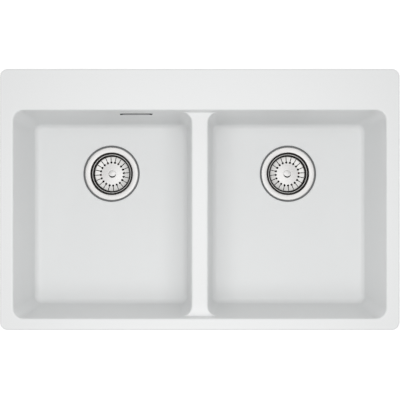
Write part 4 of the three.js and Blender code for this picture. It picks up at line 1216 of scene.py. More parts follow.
    def stem(self) -> Shell:
        """Works out the post under the basket, whose tip drops in the fixing screw.

        Returns:
            The closed surface.
        """
        bottom, top = self.ends("basket_stem")
        radius, tip, bore = self.stem_radius, self.tip_radius, self.stem_bore
        step, hollow = bottom + self.tip_length, top - self.stem_hollow
        return lathe([
            (0, bottom), (tip, bottom, 0.8), (tip, step), (radius, step, 0.5), (radius, top, 0.3),
            (bore, top), (bore, hollow), (0, hollow),
        ], 40)

    def stopper_seal(self) -> Shell:
        """Works out the rubber lip under the basket's rim, whose outer face follows the cup's seat.

        Returns:
            The closed surface.
        """
        seat, end = self.lip_seat
        edge, bottom, top = self.rim_radius, -self.lip_bottom, -self.lip_top
        return lathe([
            (self.lip_inner, bottom, 0.3), (seat, bottom, 0.4), (edge, -end, 0.3), (edge, top, 0.2),
            (self.lip_outer, top),
        ], 72)

    def fixing_screw(self) -> Shell:
        """Works out the hollow-headed screw in the cup's middle.

        Returns:
            The closed surface.
        """
        low = -self.cup_depth + self.screw_play
        top, tip, r = low + self.screw_head_height, low - self.screw_length, self.screw_radius
        socket, floor = self.socket_radius, top - self.socket_depth
        inwards, along = self.screw_slant
        return lathe([
            (0, tip), (r - inwards, tip, 0.3), (r, tip + along), (r, low), (self.screw_head, low, 0.3),
            (self.screw_head, top, 1), (socket, top, 0.3), (socket, floor), (0, floor),
        ], 48)

    def flange_seal(self) -> Shell:
        """Works out the rubber ring under the flange, which shows as a dark line round it.

        Returns:
            The closed surface.
        """
        bottom, top = self.ends("flange_seal")
        bore, edge = self.seal_bore, self.seal_radius
        return lathe([(bore, bottom), (edge, bottom, 0.2), (edge, top, 0.4), (bore, top)], 96)

    def dress_cup(self, cup: bpy.types.Object) -> None:
        """Paints shade on the cup: a dark painted reflection below its mouth, and a nearly black painted
        shadow below its seat.

        Args:
            cup: The pressed cup.
        """
        mouth, mouth_radius = self.z - 0.15, self.cup_radius + self.mouth_round
        seat, seat_radius = self.z - self.seat_end - 1, self.lower_radius + 0.3
        axis = (self.x, self.y)
        # painted shade: below the mouth the cup takes a dark colour for the dark reflection there
        dress_faces(cup, SHADE_PAINTED_STEEL, axis, lambda radius, z, n: (z < mouth) & (radius < mouth_radius))
        # painted shadow: below the seat it takes a nearly black colour for the shadow inside the cup
        dress_faces(cup, BLACK_SHADE_PAINTED_STEEL, axis, lambda radius, z, n: (z < seat) & (radius < seat_radius))

    def dress_basket(self, basket: bpy.types.Object) -> None:
        """Makes the basket satin outside its middle disc, and paints shade on its wall: the faces towards the
        inside take a dark painted shade.

        Args:
            basket: The pressed basket.
        """
        disc, wall, rim = self.petal_inner - 0.2, self.petal_outer - 0.3, self.z - self.rim_depth - 0.5
        middle = self.petal_outer + self.basket_sheet / 2  # between the wall's two faces
        axis = (self.x, self.y)

        def inner(radius: np.ndarray, z: np.ndarray, n: np.ndarray) -> np.ndarray:
            """Finds the wall's inner face, and what of its outer parts looks up."""
            return (z < rim) & (radius > wall) & ((radius < middle) | (n[:, 2] > 0.05))

        dress_faces(basket, PRESSED_STEEL, axis, lambda radius, z, n: radius > disc)
        # painted shade: the wall's inner faces, and what of its outer parts looks up, take a dark colour for
        # the shade there
        dress_faces(basket, SHADE_PAINTED_STEEL, axis, inner)

    def dress_knob(self, knob: bpy.types.Object) -> None:
        """Paints shade on the knob: its scoop takes a nearly black colour as a painted dark reflection.

        Args:
            knob: The knob.
        """

        def scoop(radius: np.ndarray, z: np.ndarray, n: np.ndarray) -> np.ndarray:
            """Finds the faces that look up and lean forwards, apart from the dome's middle."""
            return (n[:, 1] < -0.08) & (n[:, 2] > 0.2) & (radius > 3)

        # painted reflection: the scoop's forward-leaning faces take a nearly black colour for the dark
        # crescent
        dress_faces(knob, BLACK_SHADE_PAINTED_STEEL, (self.x, self.y), scoop)

    def build(self) -> None:
        """Builds the strainer's pieces."""
        s, lifted = self.side.value, f"basket_{self.side.value}"
        steel, slot_of_steel = POLISHED_STEEL, "polished_steel"
        # dress_cup, dress_basket and dress_knob paint shade and dark reflections onto the cup, basket and knob
        self.dress_cup(finish_piece(self.cup(), "sink", steel, slot_of_steel, [f"strainer_cup_{s}"]))
        self.dress_basket(finish_piece(self.basket(), lifted, steel, slot_of_steel, [f"basket_{s}"]))
        for name, node, shell, body, finish, slot in (
            ("basket_stem_moulded", "basket_stem", self.stem(), lifted, BLACK_PLASTIC, "black_plastic"),
            ("stopper_seal", "basket_seal", self.stopper_seal(), lifted, RUBBER, "black_rubber"),
            ("fixing_screw_turned", "fixing_screw", self.fixing_screw(), "sink", steel, slot_of_steel),
            ("flange_seal_ring", "flange_seal", self.flange_seal(), "sink", GREY_RUBBER, "black_rubber"),
        ):
            finish_piece(make(f"{name}_{s}", self.set_down(shell)), body, finish, slot, [f"{node}_{s}"])
        knob = finish_piece(self.knob(), lifted, steel, slot_of_steel, [f"basket_knob_{s}"], sharp_degrees=15)
        self.dress_knob(knob)
        dress_nodes([f"body_gasket_{s}"], RUBBER)


@dataclass
class WasteBody:
    """The moulded body under one bowl. Heights are from the strainer flange's top, in millimetres."""

    strainer: Strainer
    flange_radius: float = 54
    flange: float = 4
    wall: float = 2.6
    inner_radius: float = 41.6
    top: float = -13
    bowl_depth: float = 37
    cone_depth: float = 14
    outlet_length: float = 20
    socket_radius: float = 20.5
    thread_radius: float = 23.9
    rib: float = 3
    rib_degrees: tuple[float, ...] = (30, 150, 270)
    hub_radius: float = 7
    hub_ends: tuple[float, float] = (-60, -36.3)
    pilot_radius: float = 3.4
    spigot_radius: float = 10
    spigot_bore: float = 8
    spigot_reach: float = 66.2
    spigot_rise: float = 3  # how far its underside lies above the bowl's bottom
    spigot_root: float = 0.2  # how far outside the bowl's inner face it starts

    def __post_init__(self) -> None:
        """Works out the heights of the bowl's bottom and the spigot's middle."""
        self.bottom = self.top - self.bowl_depth
        self.spigot_z = self.bottom + self.spigot_radius + self.spigot_rise

    def shell(self) -> Shell:
        """Works out the turned shape: flange, bowl, cone and threaded outlet.

        Returns:
            The closed surface.
        """
        edge, inner, outer = self.flange_radius, self.inner_radius, self.inner_radius + self.wall
        under, low = self.top - self.flange, self.bottom
        cone, mouth = low - self.cone_depth, low - self.cone_depth - self.outlet_length
        return lathe([
            (edge, self.top, 0.5), (edge, under, 1), (outer, under, 2), (outer, low, 8),
            (self.thread_radius, cone, 4), (self.thread_radius, mouth, 0.6), (self.socket_radius, mouth, 0.6),
            (self.socket_radius, cone, 4), (inner, low, 7), (inner, self.top, 0.5),
        ], 80)

    def spigot(self, radius: float, start: float, end: float, edge: float) -> Shell:
        """Works out a round bar towards the back on the spigot's middle.

        Args:
            radius: Its radius.
            start: How far behind the strainer's axis it starts.
            end: How far behind the axis it ends.
            edge: The rounding of its end.

        Returns:
            The closed surface.
        """
        bar = lathe([(0, start), (radius, start), (radius, end, edge), (0, end)], 40)
        return bar.facing(Facing.BACK).placed(z=self.spigot_z)

    def build(self) -> None:
        """Builds the body, with the overflow's spigot on the left one."""
        side = self.strainer.side
        body = make(f"waste_body_moulded_{side.value}", self.strainer.set_down(self.shell()))
        bottom, top = self.hub_ends
        outline = rectangle(0, self.inner_radius + PAST, -self.rib / 2, self.rib / 2)
        rib = prism(outline, self.bottom + PAST, top - PAST)
        joined = [rod(self.hub_radius, bottom, top), *(rib.spun(angle) for angle in self.rib_degrees)]
        cuts = [rod(self.pilot_radius, bottom - PAST, top + PAST)]
        if side is Side.LEFT:
            root, end = self.inner_radius + self.spigot_root, self.spigot_reach
            joined.append(self.spigot(self.spigot_radius, root, end, 0.6))
            cuts.append(self.spigot(self.spigot_bore, self.inner_radius - 2 * PAST, end + PAST, 0))
        combine(body, Joining.UNION, [self.strainer.set_down(part) for part in joined])
        combine(body, Joining.DIFFERENCE, [self.strainer.set_down(cut) for cut in cuts])
        finish_piece(body, "sink", WHITE_PLASTIC, "white_plastic", [f"waste_body_{side.value}"])


@dataclass
class Pipework:
    """The pipes, unions and bottle trap. Sizes are in millimetres."""

    pipe_radius: float = 20
    bore: float = 18
    socket_radius: float = 20.5
    socket_depth: float = 13
    thread_radius: float = 23.9
    nut_radius: float = 29.7
    nut_bore: float = 24.7
    lip_bore: float = 20.4
    lip: float = 3
    nut_length: float = 24
    nut_slant: tuple[float, float] = (2.5, 4)  # inwards and along, at the lip's end
    grips: int = 16
    grip_depth: float = 1.6
    grip_start: float = 1.2  # how far outside the nut's bore the grips begin
    grip_rise: float = 2  # over how much of the radius they reach their full depth
    bend_radius: float = 30
    collar_radius: float = 23
    collar_length: float = 30
    trap_radius: float = 37
    trap_wall: float = 3
    trap_depth: float = 88  # from the inlet's top to the end of the thread
    trap_thread: float = 14
    shoulder_depth: float = 20
    shoulder_drop: float = 5
    outlet_depth: float = 48
    collar_play: float = 0.4
    collar_height: float = 15.8
    cup_radius: float = 27.5
    cup_step: float = 31.5
    cup_turn: float = 6
    ridges: int = 8
    ridge_height: float = 1.9
    ridge_steepness: float = 3
    ridge_threshold: float = 1.6

    def nut(self) -> Shell:
        """Works out a union nut about its own middle, with its thread towards +Z.

        Its outer radius dips between the grips: the dip follows a power of the cosine of the angle times
        the number of grips, and fades out at the lip end.

        Returns:
            The closed surface.
        """
        low, high = -self.nut_length / 2, self.nut_length / 2
        r, bore, lip, step = self.nut_radius, self.nut_bore, self.lip_bore, low + self.lip
        inwards, along = self.nut_slant
        corners = [
            (lip, low, 0.4), (r - inwards, low, 1.5), (r, low + along, 1.5), (r, high, 1), (bore, high, 0.6),
            (bore, step), (lip, step),
        ]

        def grip(radius: np.ndarray, height: np.ndarray, angle: np.ndarray) -> np.ndarray:
            """Dips the outside between the grips, by the third power of a wave.

            Args:
                radius: The profile's radius at each point.
                height: The profile's height there. Not used.
                angle: The angle round the axis there.

            Returns:
                The radius of the surface at each point.
            """
            wave = (0.5 - 0.5 * np.cos(self.grips * angle)) ** 3
            outside = np.clip((radius - self.nut_bore - self.grip_start) / self.grip_rise, 0, 1)
            return radius - self.grip_depth * wave * outside

        return lathe(corners, 10 * self.grips, grip)

    def unions(self) -> None:
        """Builds the nuts, and dresses the washers inside them."""
        sockets = {
            "waste_left": Facing.UP,
            "waste_right": Facing.UP,
            "tee_left": Facing.RIGHT,
            "tee_right": Facing.LEFT,
            "trap_inlet": Facing.DOWN,
            "trap_outlet": Facing.FRONT,
        }
        for name, facing in sockets.items():
            piece = make(f"{name}_nut_moulded", self.nut().facing(facing).placed(*middle_of(f"{name}_nut")))
            finish_piece(piece, "sink", WHITE_PLASTIC, "white_plastic", [f"{name}_nut"])
        dress_nodes([f"{name}_washer" for name in sockets], RUBBER)

    def pipe(self, path: np.ndarray) -> Shell:
        """Returns a pipe along a path, given as rows of xyz."""
        even = np.ones(len(path))
        return tube(path, self.pipe_radius * even, self.bore * even)

    def branch(self, side: Side) -> Shell:
        """Works out the pipe from one waste body to the tee: down, round a quarter circle and level.

        Args:
            side: Which waste body.

        Returns:
            The closed surface.
        """
        low, high = span(f"branch_pipe_{side.value}")
        outer, inner = (low, high) if side is Side.LEFT else (high, low)
        x = outer[0] - side.sign * self.pipe_radius
        y, level = (low[1] + high[1]) / 2, low[2] + self.pipe_radius
        angle = np.linspace(0, QUARTER, 15)
        bend = np.column_stack([
            x - side.sign * self.bend_radius * (1 - np.cos(angle)),
            np.full_like(angle, y),
            level + self.bend_radius * (1 - np.sin(angle)),
        ])
        return self.pipe(np.vstack([[x, y, high[2]], bend, [inner[0], y, level]]))

    def outlet(self) -> Shell:
        """Returns the straight pipe from the trap to the back."""
        low, high = span("outlet_pipe")
        return self.pipe(np.array([[0, y, (low[2] + high[2]) / 2] for y in np.linspace(low[1], high[1], 8)]))

    def tee(self) -> bpy.types.Object:
        """Works out the tee: two sockets left and right, and a spigot down.

        Returns:
            The piece.
        """
        low, high = span("tee")
        r, neck, under = self.thread_radius, self.collar_radius, -self.collar_length
        half, y, axis = (high[0] - low[0]) / 2, (low[1] + high[1]) / 2, high[2] - r
        level = lathe([(0, -half), (r, -half, 0.8), (r, half, 0.8), (0, half)])
        piece = make("tee_moulded", level.facing(Facing.RIGHT).placed(0, y, axis))
        collar = lathe([(0, under), (neck, under, 1), (neck, 0), (0, 0)], 64)
        down = rod(self.pipe_radius, low[2] - axis, 0, 64)
        combine(piece, Joining.UNION, [part.placed(0, y, axis) for part in (collar, down)])
        stop = half - self.socket_depth
        along = [
            rod(self.bore, -half, half, 64),
            rod(self.socket_radius, -half - PAST, -stop, 64),
            rod(self.socket_radius, stop, half + PAST, 64),
        ]
        cuts = [*(cut.facing(Facing.RIGHT) for cut in along), rod(self.bore, low[2] - axis - PAST, 0, 64)]
        combine(piece, Joining.DIFFERENCE, [cut.placed(0, y, axis) for cut in cuts])
        return piece

    def trap_body(self) -> bpy.types.Object:
        """Works out the trap's body: neck, shoulder, inner tube and the socket at the back.

        Returns:
            The piece.
        """
        low, high = span("trap_body")
        x, y, top = (low[0] + high[0]) / 2, low[1] + self.trap_radius, high[2]
        r, wall, neck, tube_bore = self.trap_radius, self.trap_wall, self.thread_radius, self.socket_radius
        thread, bottom, dip = r - wall, -self.trap_depth, low[2] - top
        collar, shoulder = bottom + self.trap_thread, -self.shoulder_depth
        under = shoulder - self.shoulder_drop
        shell = lathe([
            (neck, 0, 0.6), (neck, shoulder, 2), (r, under, 4), (r, collar, 0.8), (thread, collar),
            (thread, bottom, 0.6), (thread - wall, bottom, 0.6), (thread - wall, under - wall, 4),
            (neck, shoulder - wall, 1), (neck, dip, 0.6), (tube_bore, dip, 0.6), (tube_bore, 0, 0.6),
        ], 80)
        piece = make("trap_body_moulded", shell.placed(x, y, top))
        reach = high[1] - y
        socket = lathe([(0, thread), (neck, thread), (neck, reach, 0.8), (0, reach)], 64)
        way = rod(tube_bore, neck + 0.5, reach + PAST, 64)
        for joining, part in ((Joining.UNION, socket), (Joining.DIFFERENCE, way)):
            combine(piece, joining, [part.facing(Facing.BACK).placed(x, y, top - self.outlet_depth)])
        return piece

    def trap_cup(self) -> Shell:
        """Works out the trap's cup: a gripped collar over a tapered bowl.

        The collar's radius gains a ridge where the cosine of the angle times the number of ridges is near
        its greatest: the cosine times the steepness, less the threshold, kept between 0 and 1.

        Returns:
            The closed surface.
        """
        low, high = span("trap_cup")
        wall, narrow, step, turn = self.trap_wall, self.cup_radius, self.cup_step, self.cup_turn
        mouth = self.trap_radius - wall + self.collar_play
        shelf, bottom = -self.collar_height, low[2] - high[2]
        corners = [
            (0, bottom), (narrow - turn, bottom, 4), (narrow + wall, bottom + turn, 4),
            (step + wall, shelf - turn, 3), (mouth + wall, shelf, 2), (mouth + wall, 0, 0.8), (mouth, 0, 0.5),
            (mouth, shelf), (step, shelf, 0.5), (narrow, bottom + turn + wall / 2, 4),
            (narrow - turn, bottom + wall, 3), (0, bottom + wall),
        ]

        def grip(radius: np.ndarray, height: np.ndarray, angle: np.ndarray) -> np.ndarray:
            """Raises the ridges on the collar.

            Args:
                radius: The profile's radius at each point.
                height: The profile's height there.
                angle: The angle round the axis there.

            Returns:
                The radius of the surface at each point.
            """
            wave = np.cos(self.ridges * angle - math.pi)
            ridge = np.clip(wave * self.ridge_steepness - self.ridge_threshold, 0, 1)
            collar = (radius > mouth + wall - 1) & (height > shelf - 0.5)
            return radius + self.ridge_height * ridge * collar

        return lathe(corners, 20 * self.ridges, grip).placed(0, middle_of("trap_cup_seal")[1], high[2])

    def build(self) -> None:
        """Builds the pipework's pieces."""
        self.unions()
        for name, shell, node in (
            ("branch_pipe_left_bent", self.branch(Side.LEFT), "branch_pipe_left"),
            ("branch_pipe_right_bent", self.branch(Side.RIGHT), "branch_pipe_right"),
            ("outlet_pipe_extruded", self.outlet(), "outlet_pipe"),
        ):
            finish_piece(make(name, shell), "sink", WHITE_PLASTIC, "white_plastic", [node])
        finish_piece(self.tee(), "sink", WHITE_PLASTIC, "white_plastic", ["tee"])
        finish_piece(self.trap_body(), "sink", WHITE_PLASTIC, "white_plastic", ["trap_body"])
        cup = make("trap_cup_moulded", self.trap_cup())
        finish_piece(cup, "trap_cup", WHITE_PLASTIC, "white_plastic", ["trap_cup"])
        dress_nodes(["trap_cup_seal"], RUBBER)


@dataclass
class Overflow:
    """The overflow's cover, screw, housing and hose. Sizes are in millimetres."""

    basin: Basin
    waste: WasteBody  # the body that the hose runs to
    bar_length: float = 54
    bar_height: float = 7
    bar: float = 4.2
    bar_forward: float = 1.2  # how far the bar stands in front of its solid
    bar_edge: float = 0.4
    bar_play: float = 0.1
    hub_radius: float = 4.5
    hub_sunk: float = 1.5  # how far behind the solid's front the hub starts
    screw_hole: float = 2.2
    screw_head: float = 2.7
    screw_sunk: float = 1.2
    sunk_depth: float = 1.25  # from the bar's front
    screw_head_height: float = 0.6
    screw_play: float = 0.3
    shank_radius: float = 1.8
    cross_length: float = 3.4
    cross_width: float = 0.6
    cross_depth: float = 1.1
    wall: float = 2.5
    flange: float = 3
    lip_play: float = 0.2
    lip_wall: float = 1
    lip_back: float = 0.1  # how far the lip stays behind the bowl's wall
    tab_inset: float = 0.7
    tab_sunk: float = 0.5
    pilot_radius: float = 2
    pilot_depth: float = 10
    spigot_radius: float = 10
    spigot_bore: float = 8
    spigot_root: float = 6  # how far under the slot's middle it starts
    spigot_length: float = 22
    bare: float = 5  # how much of a spigot the hose leaves bare
    hose_radius: float = 14
    hose_bore: float = 11.2
    hose_edge: tuple[float, float] = (0.5, 0.6)  # inwards and along
    rib_depth: float = 1.7
    rib_pitch: float = 4.2
    rib_steps: int = 6
    rib_fullness: float = 0.7  # the power of the wave, below 1 for round ribs
    curve_steps: int = 400
    cuff: float = 25
    lead: float = 90  # how far from each cuff the curve's inner points lie

    def __post_init__(self) -> None:
        """Takes the slot's middle from the cover's solid, and works out the fronts of the bar and the lip."""
        low, high = span("overflow_cover")
        self.x, self.z = (low[0] + high[0]) / 2, (low[2] + high[2]) / 2
        self.face, self.back_of_hub = low[1], high[1]
        self.front = self.face - self.bar_forward
        slot_bottom = self.basin.rim_height - self.z + self.basin.slot_height / 2
        self.lip_face = self.basin.opening_back - self.basin.lean(slot_bottom) + self.lip_back

    def across(self, radius: float, start: float, end: float) -> Shell:
        """Returns a round bar along Y on the slot's middle."""
        return rod(radius, start, end, 32).facing(Facing.BACK).placed(self.x, 0, self.z)

    def standing(self, outline: np.ndarray, start: float, end: float) -> Shell:
        """Returns a flat outline about the slot's middle with a thickness along Y."""
        return upright(prism(outline, 0, end - start), start).placed(self.x, 0, self.z)

    def plate(self, grow: float, start: float, end: float) -> Shell:
        """Returns a plate that is larger than the slot by so much all round."""
        outline = stadium(self.basin.slot_width + 2 * grow, self.basin.slot_height + 2 * grow, 16)
        return self.standing(outline, start, end)

    def cover(self) -> bpy.types.Object:
        """Works out the bar across the slot, with the hub that carries it and a sunk hole for its screw.

        The bar's outline grows by the edge from its front to the end of its slanting edge, and then stays.

        Returns:
            The piece.
        """
        levels = ((self.bar_edge, 0), (0, self.bar_edge), (0, self.bar))
        rings = [
            np.insert(stadium(self.bar_length - 2 * inset, self.bar_height - 2 * inset), 2, depth, axis=1)
            for inset, depth in levels
        ]
        bar = upright(stack(np.array(rings)), self.front).placed(self.x, 0, self.z)
        piece = make("overflow_cover_moulded", bar)
        hub = self.across(self.hub_radius, self.face + self.hub_sunk, self.back_of_hub)
        combine(piece, Joining.UNION, [hub])
        hole = self.across(self.screw_hole, self.front - PAST, self.back_of_hub + PAST)
        sunk = self.across(self.screw_head + self.screw_play, self.front - PAST, self.front + self.sunk_depth)
        combine(piece, Joining.DIFFERENCE, [hole, sunk])
        return piece

    def screw(self) -> bpy.types.Object:
        """Works out the cover's screw: a low round head with a cross, and a plain shank.

        Returns:
            The piece.
        """
        low, high = span("overflow_screw")
        top, tip, head, shank = self.screw_sunk, high[1] - low[1], self.screw_head, self.shank_radius
        under = top + self.screw_head_height
        shell = lathe([
            (0, top), (head - 0.5, top, 0.4), (head, under, 0.3), (shank, under), (shank, tip - 2),
            (shank / 2, tip, 0.2), (0, tip),
        ], 40)
        piece = make("overflow_screw_turned", shell.facing(Facing.BACK).placed(self.x, low[1], self.z))
        start, end = low[1] + top - PAST, low[1] + top + self.cross_depth
        arms = cross(self.cross_length, self.cross_width)
        combine(piece, Joining.DIFFERENCE, [self.standing(arm, start, end) for arm in arms])
        return piece

    def housing(self) -> bpy.types.Object:
        """Works out the housing behind the wall: flange, lip through the slot, chamber, hub and spigot.

        Two tabs on the lip hold the bar's ends. They are what is left of a bar with round ends when its
        middle is cut away.

        Returns:
            The piece.
        """
        low, high = span("overflow_housing")
        face, back, inner = low[1], high[1], low[1] + self.flange
        y = (inner + back) / 2
        piece = make("overflow_housing_moulded", self.plate(self.basin.pad_margin, face, inner))
        combine(piece, Joining.UNION, [
            self.plate(self.wall, face + PAST, back),
            rod(self.spigot_radius, low[2], self.z - self.spigot_root, 40).placed(self.x, y),
            self.plate(-self.lip_play, self.lip_face, face + PAST),
        ])
        combine(piece, Joining.DIFFERENCE, [
            self.plate(0, inner, back - self.wall),
            self.plate(-self.lip_play - self.lip_wall, self.lip_face - PAST, inner + PAST),
            rod(self.spigot_bore, low[2] - PAST, self.z, 40).placed(self.x, y),
        ])
        tabs = stadium(self.basin.slot_width - 2 * self.tab_inset, self.bar_height, 16)
        combine(piece, Joining.UNION, [
            self.across(self.hub_radius, self.back_of_hub + self.bar_play, back - PAST),
            self.standing(tabs, self.front, face + self.tab_sunk),
        ])
        x, z = self.bar_length / 2 + self.bar_play, self.bar_height / 2 + PAST
        combine(piece, Joining.DIFFERENCE, [
            self.across(self.pilot_radius, self.back_of_hub - PAST, self.back_of_hub + self.pilot_depth),
            self.standing(rectangle(-x, x, -z, z), self.front - PAST, face + self.tab_sunk + self.bar_play),
        ])
        return piece

    def hose(self) -> Shell:
        """Works out the ribbed hose.

        Its middle runs straight through each cuff, and between them along the cubic curve whose inner
        points lie straight on from the cuffs. Its radius is a rounded wave along the length between the
        cuffs.

        Returns:
            The closed surface.
        """
        low, high = span("overflow_housing")
        strainer, covered = self.waste.strainer, self.spigot_length - self.bare
        end_y = span("waste_body_left")[1][1] - covered
        start = np.array([self.x, (low[1] + self.flange + high[1]) / 2, low[2] + covered])
        end = np.array([strainer.x, end_y, strainer.z + self.waste.spigot_z])
        down, back = np.array(Facing.DOWN.value), np.array(Facing.BACK.value)
        first, last = start + down * self.cuff, end + back * self.cuff
        share = np.linspace(0, 1, self.curve_steps)[:, None]
        curve = (
            (1 - share) ** 3 * first
            + 3 * (1 - share) ** 2 * share * (first + down * self.lead)
            + 3 * (1 - share) * share**2 * (last + back * self.lead)
            + share**3 * last
        )
        length = np.concatenate([[0], np.cumsum(np.linalg.norm(np.diff(curve, axis=0), axis=1))])
        ribs = round(length[-1] / self.rib_pitch)
        even = np.linspace(0, length[-1], ribs * self.rib_steps + 1)
        middle = np.column_stack([np.interp(even, length, curve[:, k]) for k in range(3)])
        inwards, along = self.hose_edge
        path = np.vstack([start, start + down * along, middle, end + back * along, end])
        turn = 2 * math.pi * np.arange(len(even)) / self.rib_steps
        wave = (0.5 - 0.5 * np.cos(turn)) ** self.rib_fullness
        root = self.hose_radius - self.rib_depth
        outer = np.array([root - inwards, root, *(root + self.rib_depth * wave), root, root - inwards])
        return tube(path, outer, np.full(len(path), self.hose_bore), 36)

    def build(self) -> None:
        """Builds the overflow's pieces."""
        finish_piece(self.cover(), "sink", GREY_PLASTIC, "grey_plastic", ["overflow_cover"])
        finish_piece(self.screw(), "sink", ZINC_STEEL, "polished_steel", ["overflow_screw"])
        finish_piece(self.housing(), "sink", BLACK_PLASTIC, "black_plastic", ["overflow_housing"], bevel=0.4)
        hose = make("overflow_hose_ribbed", self.hose())
        finish_piece(hose, "sink", SOFT_PVC, "grey_plastic", ["overflow_hose"])
        dress_nodes(["overflow_seal"], RUBBER)


@dataclass
class Clips:
    """The clips round the rim. Heights are from the worktop's top face, in millimetres."""

    claw_width: float = 10
    claw_sheet: float = 2.5
    claw_reach: float = 17
    claw_rise: float = 11
    claw_hole: float = 2.9
    tooth: float = 1.4
    tooth_step: float = 0.9  # how much lower the inner tooth ends
    jaw: float = 3  # how far under the teeth the strip turns inwards
    screw_radius: float = 2.5
    head_radius: float = 4.5
    head_height: float = 3.2
    head_slant: tuple[float, float] = (0.9, 1.4)  # inwards and along
    plain_length: float = 8
    thread_depth: float = 0.45
    thread_end: float = 0.6
    tip_slant: float = 0.3
    pitch: float = 0.8
    cross_length: float = 4.8
    cross_width: float = 0.9
    cross_depth: float = 1.8

    def screw(self, low: float, high: float) -> bpy.types.Object:
        """Works out a screw from its head at the bottom up.

        Its thread is drawn as rings, one for each turn, because the pitch is too fine for its slope to show.

        Args:
            low: The height of the head's underside.
            high: The height of the tip.

        Returns:
            The piece, on the Z axis.
        """
        r, head, neck = self.screw_radius, self.head_radius, low + self.head_height
        turns = int((high - neck - self.plain_length) / self.pitch)
        root, start = r - self.thread_depth, high - turns * self.pitch - self.thread_end
        thread = [(root if k % 2 else r, start + k * self.pitch / 2) for k in range(2 * turns)]
        inwards, along = self.head_slant
        corners = [
            (0, low), (head - inwards, low, 0.8), (head, low + along, 0.5), (head, neck, 0.2), (r, neck),
            (r, start - self.pitch / 2), *thread, (root - self.tip_slant, high), (0, high),
        ]
        piece = make("clip_screw", lathe(corners, 24))
        arms = cross(self.cross_length, self.cross_width)
        combine(piece, Joining.DIFFERENCE, [prism(arm, low - PAST, low + self.cross_depth) for arm in arms])
        return piece

    def claw(self, low: float) -> bpy.types.Object:
        """Works out a claw that points along +X: a bent strip with teeth, pierced for its screw.

        Args:
            low: The height of its underside.

        Returns:
            The piece, on the Z axis.
        """
        half, t, reach, rise = self.claw_width / 2, self.claw_sheet, self.claw_reach, self.claw_rise
        corners = [
            (-half, 0, 0.4), (half + 1, 0, 4), (reach, rise - self.jaw, 0.6), (reach, rise),
            (reach - t / 2, rise - self.tooth), (reach - t, rise - self.tooth_step), (half, t, 3),
            (-half, t, 0.4),
        ]
        outline = soften(corners, closed=True)
        piece = make("clip_claw", upright(prism(outline, 0, self.claw_width), -half).placed(z=low))
        combine(piece, Joining.DIFFERENCE, [rod(self.claw_hole, low - PAST, low + t + PAST, 32)])
        return piece

    def copy_to(
        self, source: bpy.types.Object, name: str, turn: float, place: tuple[float, float]
    ) -> bpy.types.Object:
        """Copies a piece to a place, with the place in its mesh.

        Args:
            source: The piece on the Z axis.
            name: The copy's name.
            turn: How far it turns about Z, in degrees.
            place: The x and y of its axis.

        Returns:
            The copy.
        """
        x, y = place
        mesh = source.data.copy()
        mesh.transform(Matrix.Translation((x * MM, y * MM, 0)) @ Matrix.Rotation(math.radians(turn), 4, "Z"))
        return add_object(name, mesh)

    def build(self) -> None:
        """Builds each clip's screw and claw, from one of each."""
        turns = {"front": -90, "back": 90, "side_left": 180, "side_right": 0}
        places = clip_places()
        first = next(iter(places))
        low, high = span(f"clip_screw_{first}")
        screw = self.screw(low[2], high[2])
        claw = self.claw(span(f"clip_claw_{first}")[0][2])
        for name, place in places.items():
            turn = next(angle for key, angle in turns.items() if name.startswith(key))
            for source, kind, worn in ((screw, "screw", 0.0), (claw, "claw", 0.3)):
                node = f"clip_{kind}_{name}"
                piece = self.copy_to(source, f"{node}_plated", turn, place)
                finish_piece(piece, node, ZINC_STEEL, "zinc_steel", [node], bevel=worn)
        for source in (screw, claw):
            discard(source)


# ----------------------------------------------------------------------------------------------------
# The studio
# ----------------------------------------------------------------------------------------------------


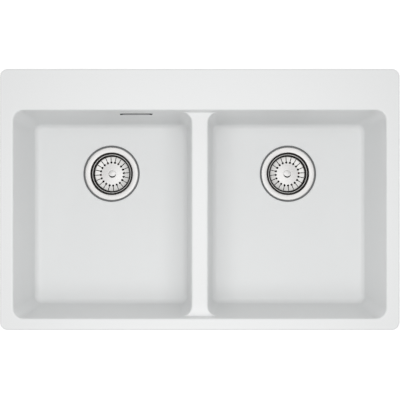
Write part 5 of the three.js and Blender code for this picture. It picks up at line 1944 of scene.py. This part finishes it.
@dataclass
class Studio:
    """The floor, the lights and the camera. Lengths are in metres."""

    floor_gap: float = 0.07  # room for the trap's cup to come off
    floor_size: float = 12
    sky: tuple[tuple[float, float], ...] = ((0, 0.48), (0.342, 0.8), (0.643, 0.48), (1, 0.48))
    sky_top: float = 0.8  # the greatest of those
    panel_direction: tuple[float, float, float] = (0, -0.766, 0.643)  # of a dark panel in front of the sink
    panel_inner_degrees: float = 8
    panel_outer_degrees: float = 26
    panel_share: float = 0.85
    box_place: tuple[float, float, float] = (0, -0.1, 1.3)
    box_size: float = 1.05
    box_power: float = 9.6
    camera_height: float = 1.986  # above the rim's top
    camera_y: float = -0.0166
    camera_reach: float = 50
    picture_width: float = 0.78  # what the picture's width covers at the rim's top
    sensor: float = 36
    principal_x: float = 199.75  # the pixel under the camera
    principal_y: float = 208

    def floor(self, under: float) -> None:
        """Lays a plain pale floor.

        Args:
            under: The lowest point of the object.
        """
        half = self.floor_size / 2
        mesh = bpy.data.meshes.new("floor")
        corners = np.insert(rectangle(-half, half, -half, half), 2, under - self.floor_gap, axis=1)
        mesh.from_pydata(corners.tolist(), [], [(0, 1, 2, 3)])
        mesh.materials.append(BOARD.material())
        add_object("floor", mesh)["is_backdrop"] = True

    def light(self) -> None:
        """Hangs a soft box over the sink."""
        data = bpy.data.lights.new("soft_box", "AREA")
        data.energy, data.size = self.box_power, self.box_size
        hung = add_object("soft_box", data)
        hung.location = self.box_place
        hung.rotation_euler = (-Vector(self.box_place)).to_track_quat("-Z", "Y").to_euler()

    def tent(self) -> None:
        """Builds the white tent round the studio, as the sky.

        Its brightness follows the height of the direction, by straight lines between the values in sky.
        A dark panel in front takes a share of it away, in full within the panel's inner angle of its
        middle and fading out at the outer one.
        """
        world = bpy.data.worlds.new("tent")
        world.use_nodes = True
        tree = world.node_tree
        tree.nodes.clear()
        direction = add_node(tree, "ShaderNodeTexCoord", {}, {}).outputs["Generated"]
        height = add_node(tree, "ShaderNodeSeparateXYZ", {}, {"Vector": direction}).outputs["Z"]
        ramp = add_node(tree, "ShaderNodeValToRGB", {}, {"Fac": height})
        elements = ramp.color_ramp.elements
        for place, _ in self.sky[1:-1]:
            elements.new(place)
        for element, (_, value) in zip(elements, self.sky):
            element.color = (*[value / self.sky_top] * 3, 1)
        towards = add_node(tree, "ShaderNodeVectorMath", {"operation": "DOT_PRODUCT"}, {0: direction})
        towards.inputs[1].default_value = self.panel_direction
        angles = (self.panel_outer_degrees, self.panel_inner_degrees)
        edges = (math.cos(math.radians(angle)) for angle in angles)
        settings = dict(zip(RANGES, (*edges, self.sky_top, self.sky_top * (1 - self.panel_share))))
        settings["interpolation_type"] = "SMOOTHSTEP"
        dimmed = add_node(tree, "ShaderNodeMapRange", settings, {"Value": towards.outputs["Value"]})
        links = {"Color": ramp.outputs["Color"], "Strength": dimmed.outputs["Result"]}
        sky = add_node(tree, "ShaderNodeBackground", {}, links)
        add_node(tree, "ShaderNodeOutputWorld", {}, {"Surface": sky.outputs["Background"]})
        bpy.context.scene.world = world

    def camera(self, rim_top: float) -> None:
        """Sets the camera up as the picture was taken, straight down from above the bowls.

        Args:
            rim_top: The height of the rim's top.
        """
        data = bpy.data.cameras.new("camera")
        data.sensor_width = self.sensor
        data.lens = self.sensor * self.camera_height / self.picture_width
        data.shift_x = (PICTURE / 2 - self.principal_x) / PICTURE
        data.shift_y = (self.principal_y - PICTURE / 2) / PICTURE
        data.clip_end = self.camera_reach
        camera = add_object("camera", data)
        camera.location = (0, self.camera_y, rim_top + self.camera_height)
        bpy.context.scene.camera = camera

    def build(self, bottom: float) -> None:
        """Builds the studio round the object.

        Args:
            bottom: The object's lowest point.
        """
        bpy.context.scene.view_settings.view_transform = "Standard"
        self.tent()
        self.light()
        self.floor(bottom)
        self.camera(float(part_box("basin")[1].z))
        log.info("studio: tent, soft box, floor and camera")


def main() -> None:
    """Builds the sink's pieces in order and the studio round them."""
    logging.basicConfig(level=logging.INFO, format="%(name)s: %(message)s")
    solid = [list(map(float, corner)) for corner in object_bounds()]
    Studio().build(solid[0][2])
    basin = Basin()
    basin.build()
    wastes = [WasteBody(Strainer(side)) for side in Side]
    for waste in wastes:
        waste.strainer.build()
        waste.build()
    Pipework().build()
    Overflow(basin, wastes[0]).build()
    Clips().build()


if __name__ == "__main__":
    main()
